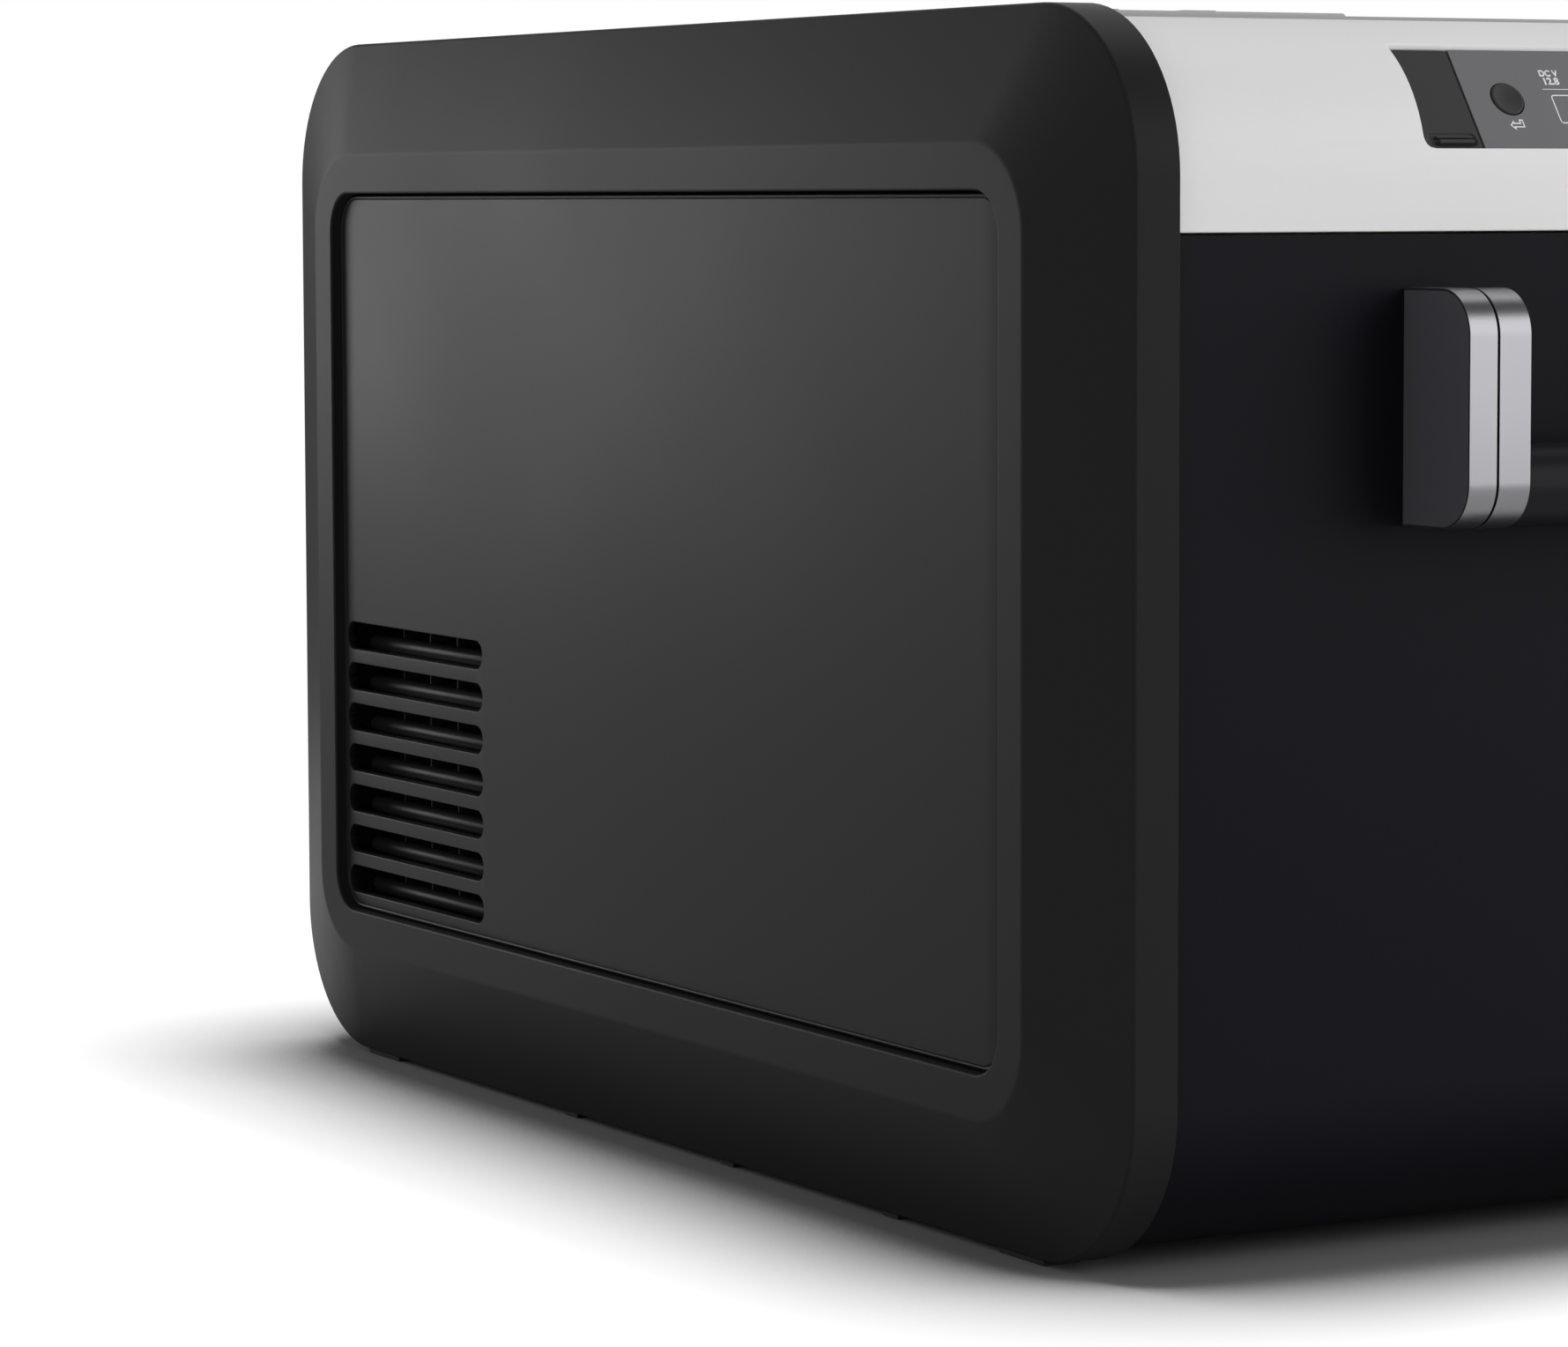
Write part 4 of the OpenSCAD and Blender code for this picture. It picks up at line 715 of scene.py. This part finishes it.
bm = bmesh.new()
HOOPS, CROSS_WIRES, LONG_WIRES = 5, 10, 5
HOOP_FOOT, CROSS_EDGE, LONG_EDGE = 30, 22, 24
basket_size = basket_high - basket_low
for k in range(HOOPS):
    hoop(bm, basket_high.z - WIRE_R - k * (basket_size.z - HOOP_FOOT) / (HOOPS - 1))
for k in range(CROSS_WIRES):
    cradle_wire(bm, basket_low.x + CROSS_EDGE + k * (basket_size.x - 2 * CROSS_EDGE) / (CROSS_WIRES - 1), "Y")
for k in range(LONG_WIRES):
    cradle_wire(bm, basket_low.y + LONG_EDGE + k * (basket_size.y - 2 * LONG_EDGE) / (LONG_WIRES - 1), "X")
bmesh.ops.holes_fill(bm, edges=[e for e in bm.edges if e.is_boundary], sides=8)
finish_piece(bm, "wire_basket_wires", wire_coat, "cabinet", ["wire_basket"])

# %% [markdown]
# ## Dressing the construction model
# Each node names a material slot in the record, so a loop gives every piece its finish. Real edges are
# never razor sharp: a Weld modifier joins the loose triangles, and a Bevel modifier that only takes sharp
# edges rounds them, without touching the mesh underneath. An Edge Split modifier then keeps the shading of
# flat faces apart from that of their rounded edges, so that no long thin triangle shows as a streak.

# %% Finish and soften every carried-over node
SOFTEN_MM = {
    "outer_casing": 0, "casing_side_left": 0, "casing_side_right": 0, "body_insulation": 0,
    "front_collar": 0.5, "rear_collar": 0.5, "lid_shell": 0.5, "lid_liner": 0.8, "inner_liner": 0.8,
    "top_deck": 0.8, "display_overlay": 0.25, "display_housing": 0, "usb_socket": 0.2, "evaporator": 0,
    "condenser": 0, "lid_insulation": 0, "bracket_cheeks": 0.25, "handle_pins": 0, "hinge_pins": 0,
    "latch_pin": 0,
}
DEFAULT_SOFTEN_MM = 0.4
SPLIT_DEGREES = 12


def soften(obj, radius_mm, segments=3, sharp_degrees=32):
    """Rounds the sharp edges of a welded copy of the mesh, as live modifiers."""
    weld = obj.modifiers.new("weld", "WELD")
    weld.merge_threshold = 0.002 * MM
    if radius_mm:
        bevel = obj.modifiers.new("rounding", "BEVEL")
        bevel.width = radius_mm * MM
        bevel.segments = segments
        bevel.limit_method = "ANGLE"
        bevel.angle_limit = math.radians(sharp_degrees)
        bevel.use_clamp_overlap = True
    split = obj.modifiers.new("even_shading", "EDGE_SPLIT")
    split.split_angle = math.radians(SPLIT_DEGREES)
    split.use_edge_sharp = False
    for polygon in obj.data.polygons:
        polygon.use_smooth = True


# The lid takes the darker grey, which is painted shade.
NODE_FINISH = {"lid_shell": lid_painted_shade_plastic}
slot_of = {entry["node"]: entry["material_slot"] for entry in frame["record"]["subparts"]}
for name, obj in frame["nodes"].items():
    if obj.hide_render:
        continue
    obj.data.materials.clear()
    obj.data.materials.append(NODE_FINISH.get(name, FINISHES[slot_of[name]]))
    soften(obj, SOFTEN_MM.get(name, DEFAULT_SOFTEN_MM))
print("dressed nodes:", len(slot_of))

# %% [markdown]
# ## Studio
# The picture stands on pure white. The world is plain white to the camera, to mirrors and to glass, and a
# dim grey to the light that falls on the object. The floor does the same far away from the object. Close
# to it the floor keeps the object's soft shadow: half of it comes from the lamps, and half from ambient
# occlusion, which darkens the corner between floor and object.

# %% White to the eye, dim to the object
WHITE_TO_EYE = ("Is Camera Ray", "Is Glossy Ray", "Is Transmission Ray")


def eye_factor(holder):
    """An output that is 1 for the rays that end in the eye, straight or by way of metal or glass."""
    rays = add_node(holder, "ShaderNodeLightPath")
    first = add_node(holder, "ShaderNodeMath", {"operation": "MAXIMUM"})
    last = add_node(holder, "ShaderNodeMath", {"operation": "MAXIMUM"})
    for i, name in enumerate(WHITE_TO_EYE[:2]):
        holder.node_tree.links.new(rays.outputs[name], first.inputs[i])
    holder.node_tree.links.new(first.outputs[0], last.inputs[0])
    holder.node_tree.links.new(rays.outputs[WHITE_TO_EYE[2]], last.inputs[1])
    return last.outputs[0]


def mixed(holder, factor, first, second):
    """A Mix Shader of two shader outputs."""
    mix = add_node(holder, "ShaderNodeMixShader")
    holder.node_tree.links.new(factor, mix.inputs[0])
    holder.node_tree.links.new(first, mix.inputs[1])
    holder.node_tree.links.new(second, mix.inputs[2])
    return mix.outputs[0]


world = bpy.data.worlds.new("studio")
bpy.context.scene.world = world
world.use_nodes = True
WORLD_LIGHT = 0.22
dim = world.node_tree.nodes["Background"]
dim.inputs["Color"].default_value = linear("ffffff")
dim.inputs["Strength"].default_value = WORLD_LIGHT
white = add_node(world, "ShaderNodeBackground", {"Color": linear("ffffff"), "Strength": 1.0})
world.node_tree.links.new(mixed(world, eye_factor(world), dim.outputs[0], white.outputs[0]),
                          world.node_tree.nodes["World Output"].inputs[0])
bpy.context.scene.view_settings.view_transform = "Standard"

# %% [markdown]
# ### Floor
# The floor is one large square. Its paint mixes three looks: a plain matt white for the light that it
# throws back on the object, a shadowed white close to the object, and a glowing white at a distance,
# where the floor has to vanish into the background.

# %% Floor
FLOOR_SIZE, FADE_START, FADE_END = 12.0, 0.9, 1.6
SHADOW_REACH, SHADOW_DARKEST = 0.112, 0.53
FLOOR_GLOW = 0.92
floor_mesh = bpy.data.meshes.new("floor")
bm = bmesh.new()
bmesh.ops.create_grid(bm, x_segments=1, y_segments=1, size=FLOOR_SIZE / 2)
bm.to_mesh(floor_mesh)
bm.free()
floor = bpy.data.objects.new("floor", floor_mesh)
bpy.context.scene.collection.objects.link(floor)


def matt_floor_paint():
    """Matt white paint. To the eye, the corner between floor and object darkens and the distance is white."""
    paint = bpy.data.materials.new("matt_studio_paint")
    paint.use_nodes = True
    tree = paint.node_tree
    tree.nodes.remove(tree.nodes["Principled BSDF"])
    bounce = add_node(paint, "ShaderNodeBsdfDiffuse", {"Color": linear("f0f0f0")})
    corner = add_node(paint, "ShaderNodeAmbientOcclusion", {"Distance": SHADOW_REACH, "samples": 32})
    shade = add_node(paint, "ShaderNodeMapRange", {"From Min": SHADOW_DARKEST, "From Max": 1.0},
                     {"Value": corner.outputs["AO"]})
    lit = add_node(paint, "ShaderNodeBsdfDiffuse", {"Color": linear("848484")})
    glow_colour = add_node(paint, "ShaderNodeEmission", {"Strength": FLOOR_GLOW},
                           {"Color": shade.outputs["Result"]})
    near = add_node(paint, "ShaderNodeAddShader")
    tree.links.new(lit.outputs[0], near.inputs[0])
    tree.links.new(glow_colour.outputs[0], near.inputs[1])
    far = add_node(paint, "ShaderNodeEmission", {"Color": linear("ffffff"), "Strength": 1.0})
    place = add_node(paint, "ShaderNodeTexCoord")
    length = add_node(paint, "ShaderNodeVectorMath", {"operation": "LENGTH"})
    tree.links.new(place.outputs["Object"], length.inputs[0])
    fade = add_node(paint, "ShaderNodeMapRange", {"From Min": FADE_START, "From Max": FADE_END},
                    {"Value": length.outputs["Value"]})
    seen = mixed(paint, fade.outputs["Result"], near.outputs[0], far.outputs[0])
    tree.links.new(mixed(paint, eye_factor(paint), bounce.outputs[0], seen),
                   tree.nodes["Material Output"].inputs["Surface"])
    return paint


floor_mesh.materials.append(matt_floor_paint())

# %% [markdown]
# ### Lamps
# The photograph's key stands far to the left and grazes the side frame: the panel shades from light at
# its upper left to dark at its right, and the slope that turns towards the front end is almost black. A
# very large lamp lights the front end softly, so that the aluminium doesn't clip. A weak one fills the
# side and one the top.

# %% Lamps
CENTRE = Vector((0, 0, 0.2))


def soft_lamp(name, place, size, watts, target=CENTRE):
    """A square area lamp that faces the target."""
    data = bpy.data.lights.new(name, "AREA")
    data.shape = "SQUARE"
    data.size = size
    data.energy = watts
    lamp = bpy.data.objects.new(name, data)
    bpy.context.scene.collection.objects.link(lamp)
    lamp.location = place
    lamp.rotation_euler = (target - Vector(place)).to_track_quat("-Z", "Y").to_euler()
    lamp.visible_camera = False
    return lamp


soft_lamp("key", (-1.42, -0.68, 0.44), 0.6, 6.4, Vector((-0.1, -0.2, 0.25)))
soft_lamp("front_fill", (2.0, 1.75, 0.75), 2.8, 65)
soft_lamp("side_fill", (0.9, -2.8, 0.9), 1.6, 11)
soft_lamp("top", (-0.2, 0.5, 2.4), 1.6, 11.5)

# %% [markdown]
# ### Reflector cards
# A photographer stands dark cards beside a glossy product, so that its edges don't vanish in the white.
# Here one card gives the far slope of the side frame its dark edge, one shades the near half of the side
# panel, and one overhead darkens the round tops of the aluminium. They only show in reflections and take
# no light away.

# %% Three dark cards


def dark_card(name, middle, turn, width, height, material):
    """A card that only shows in reflections; it lies flat until it is turned."""
    bm = bmesh.new()
    bmesh.ops.create_grid(bm, x_segments=1, y_segments=1, size=0.5)
    bmesh.ops.scale(bm, vec=(width, height, 1), verts=bm.verts)
    bmesh.ops.rotate(bm, cent=(0, 0, 0), matrix=turn, verts=bm.verts)
    bmesh.ops.translate(bm, vec=middle, verts=bm.verts)
    mesh = bpy.data.meshes.new(name)
    bm.to_mesh(mesh)
    bm.free()
    mesh.materials.append(material)
    card = bpy.data.objects.new(name, mesh)
    bpy.context.scene.collection.objects.link(card)
    card.visible_camera = False
    card.visible_diffuse = False
    card.visible_transmission = False
    card.visible_shadow = False
    return card


card_cloth = grained("black_card_cloth", "1c1c1c", "222222", 0.9, 3.0, 0.1, Specular_IOR_Level=0.0)
dark_card("left_card", (-1.5, -0.2, 0.45), Matrix.Rotation(math.radians(90), 3, "Y"), 0.95, 0.7, card_cloth)
dark_card("side_card", (-1.85, -1.6, 0.8), Matrix.Rotation(math.radians(90), 3, "X"), 1.3, 1.8, card_cloth)
dark_card("overhead_card", (0.75, 0.45, 1.2), Matrix.Identity(3), 0.9, 1.1, card_cloth)
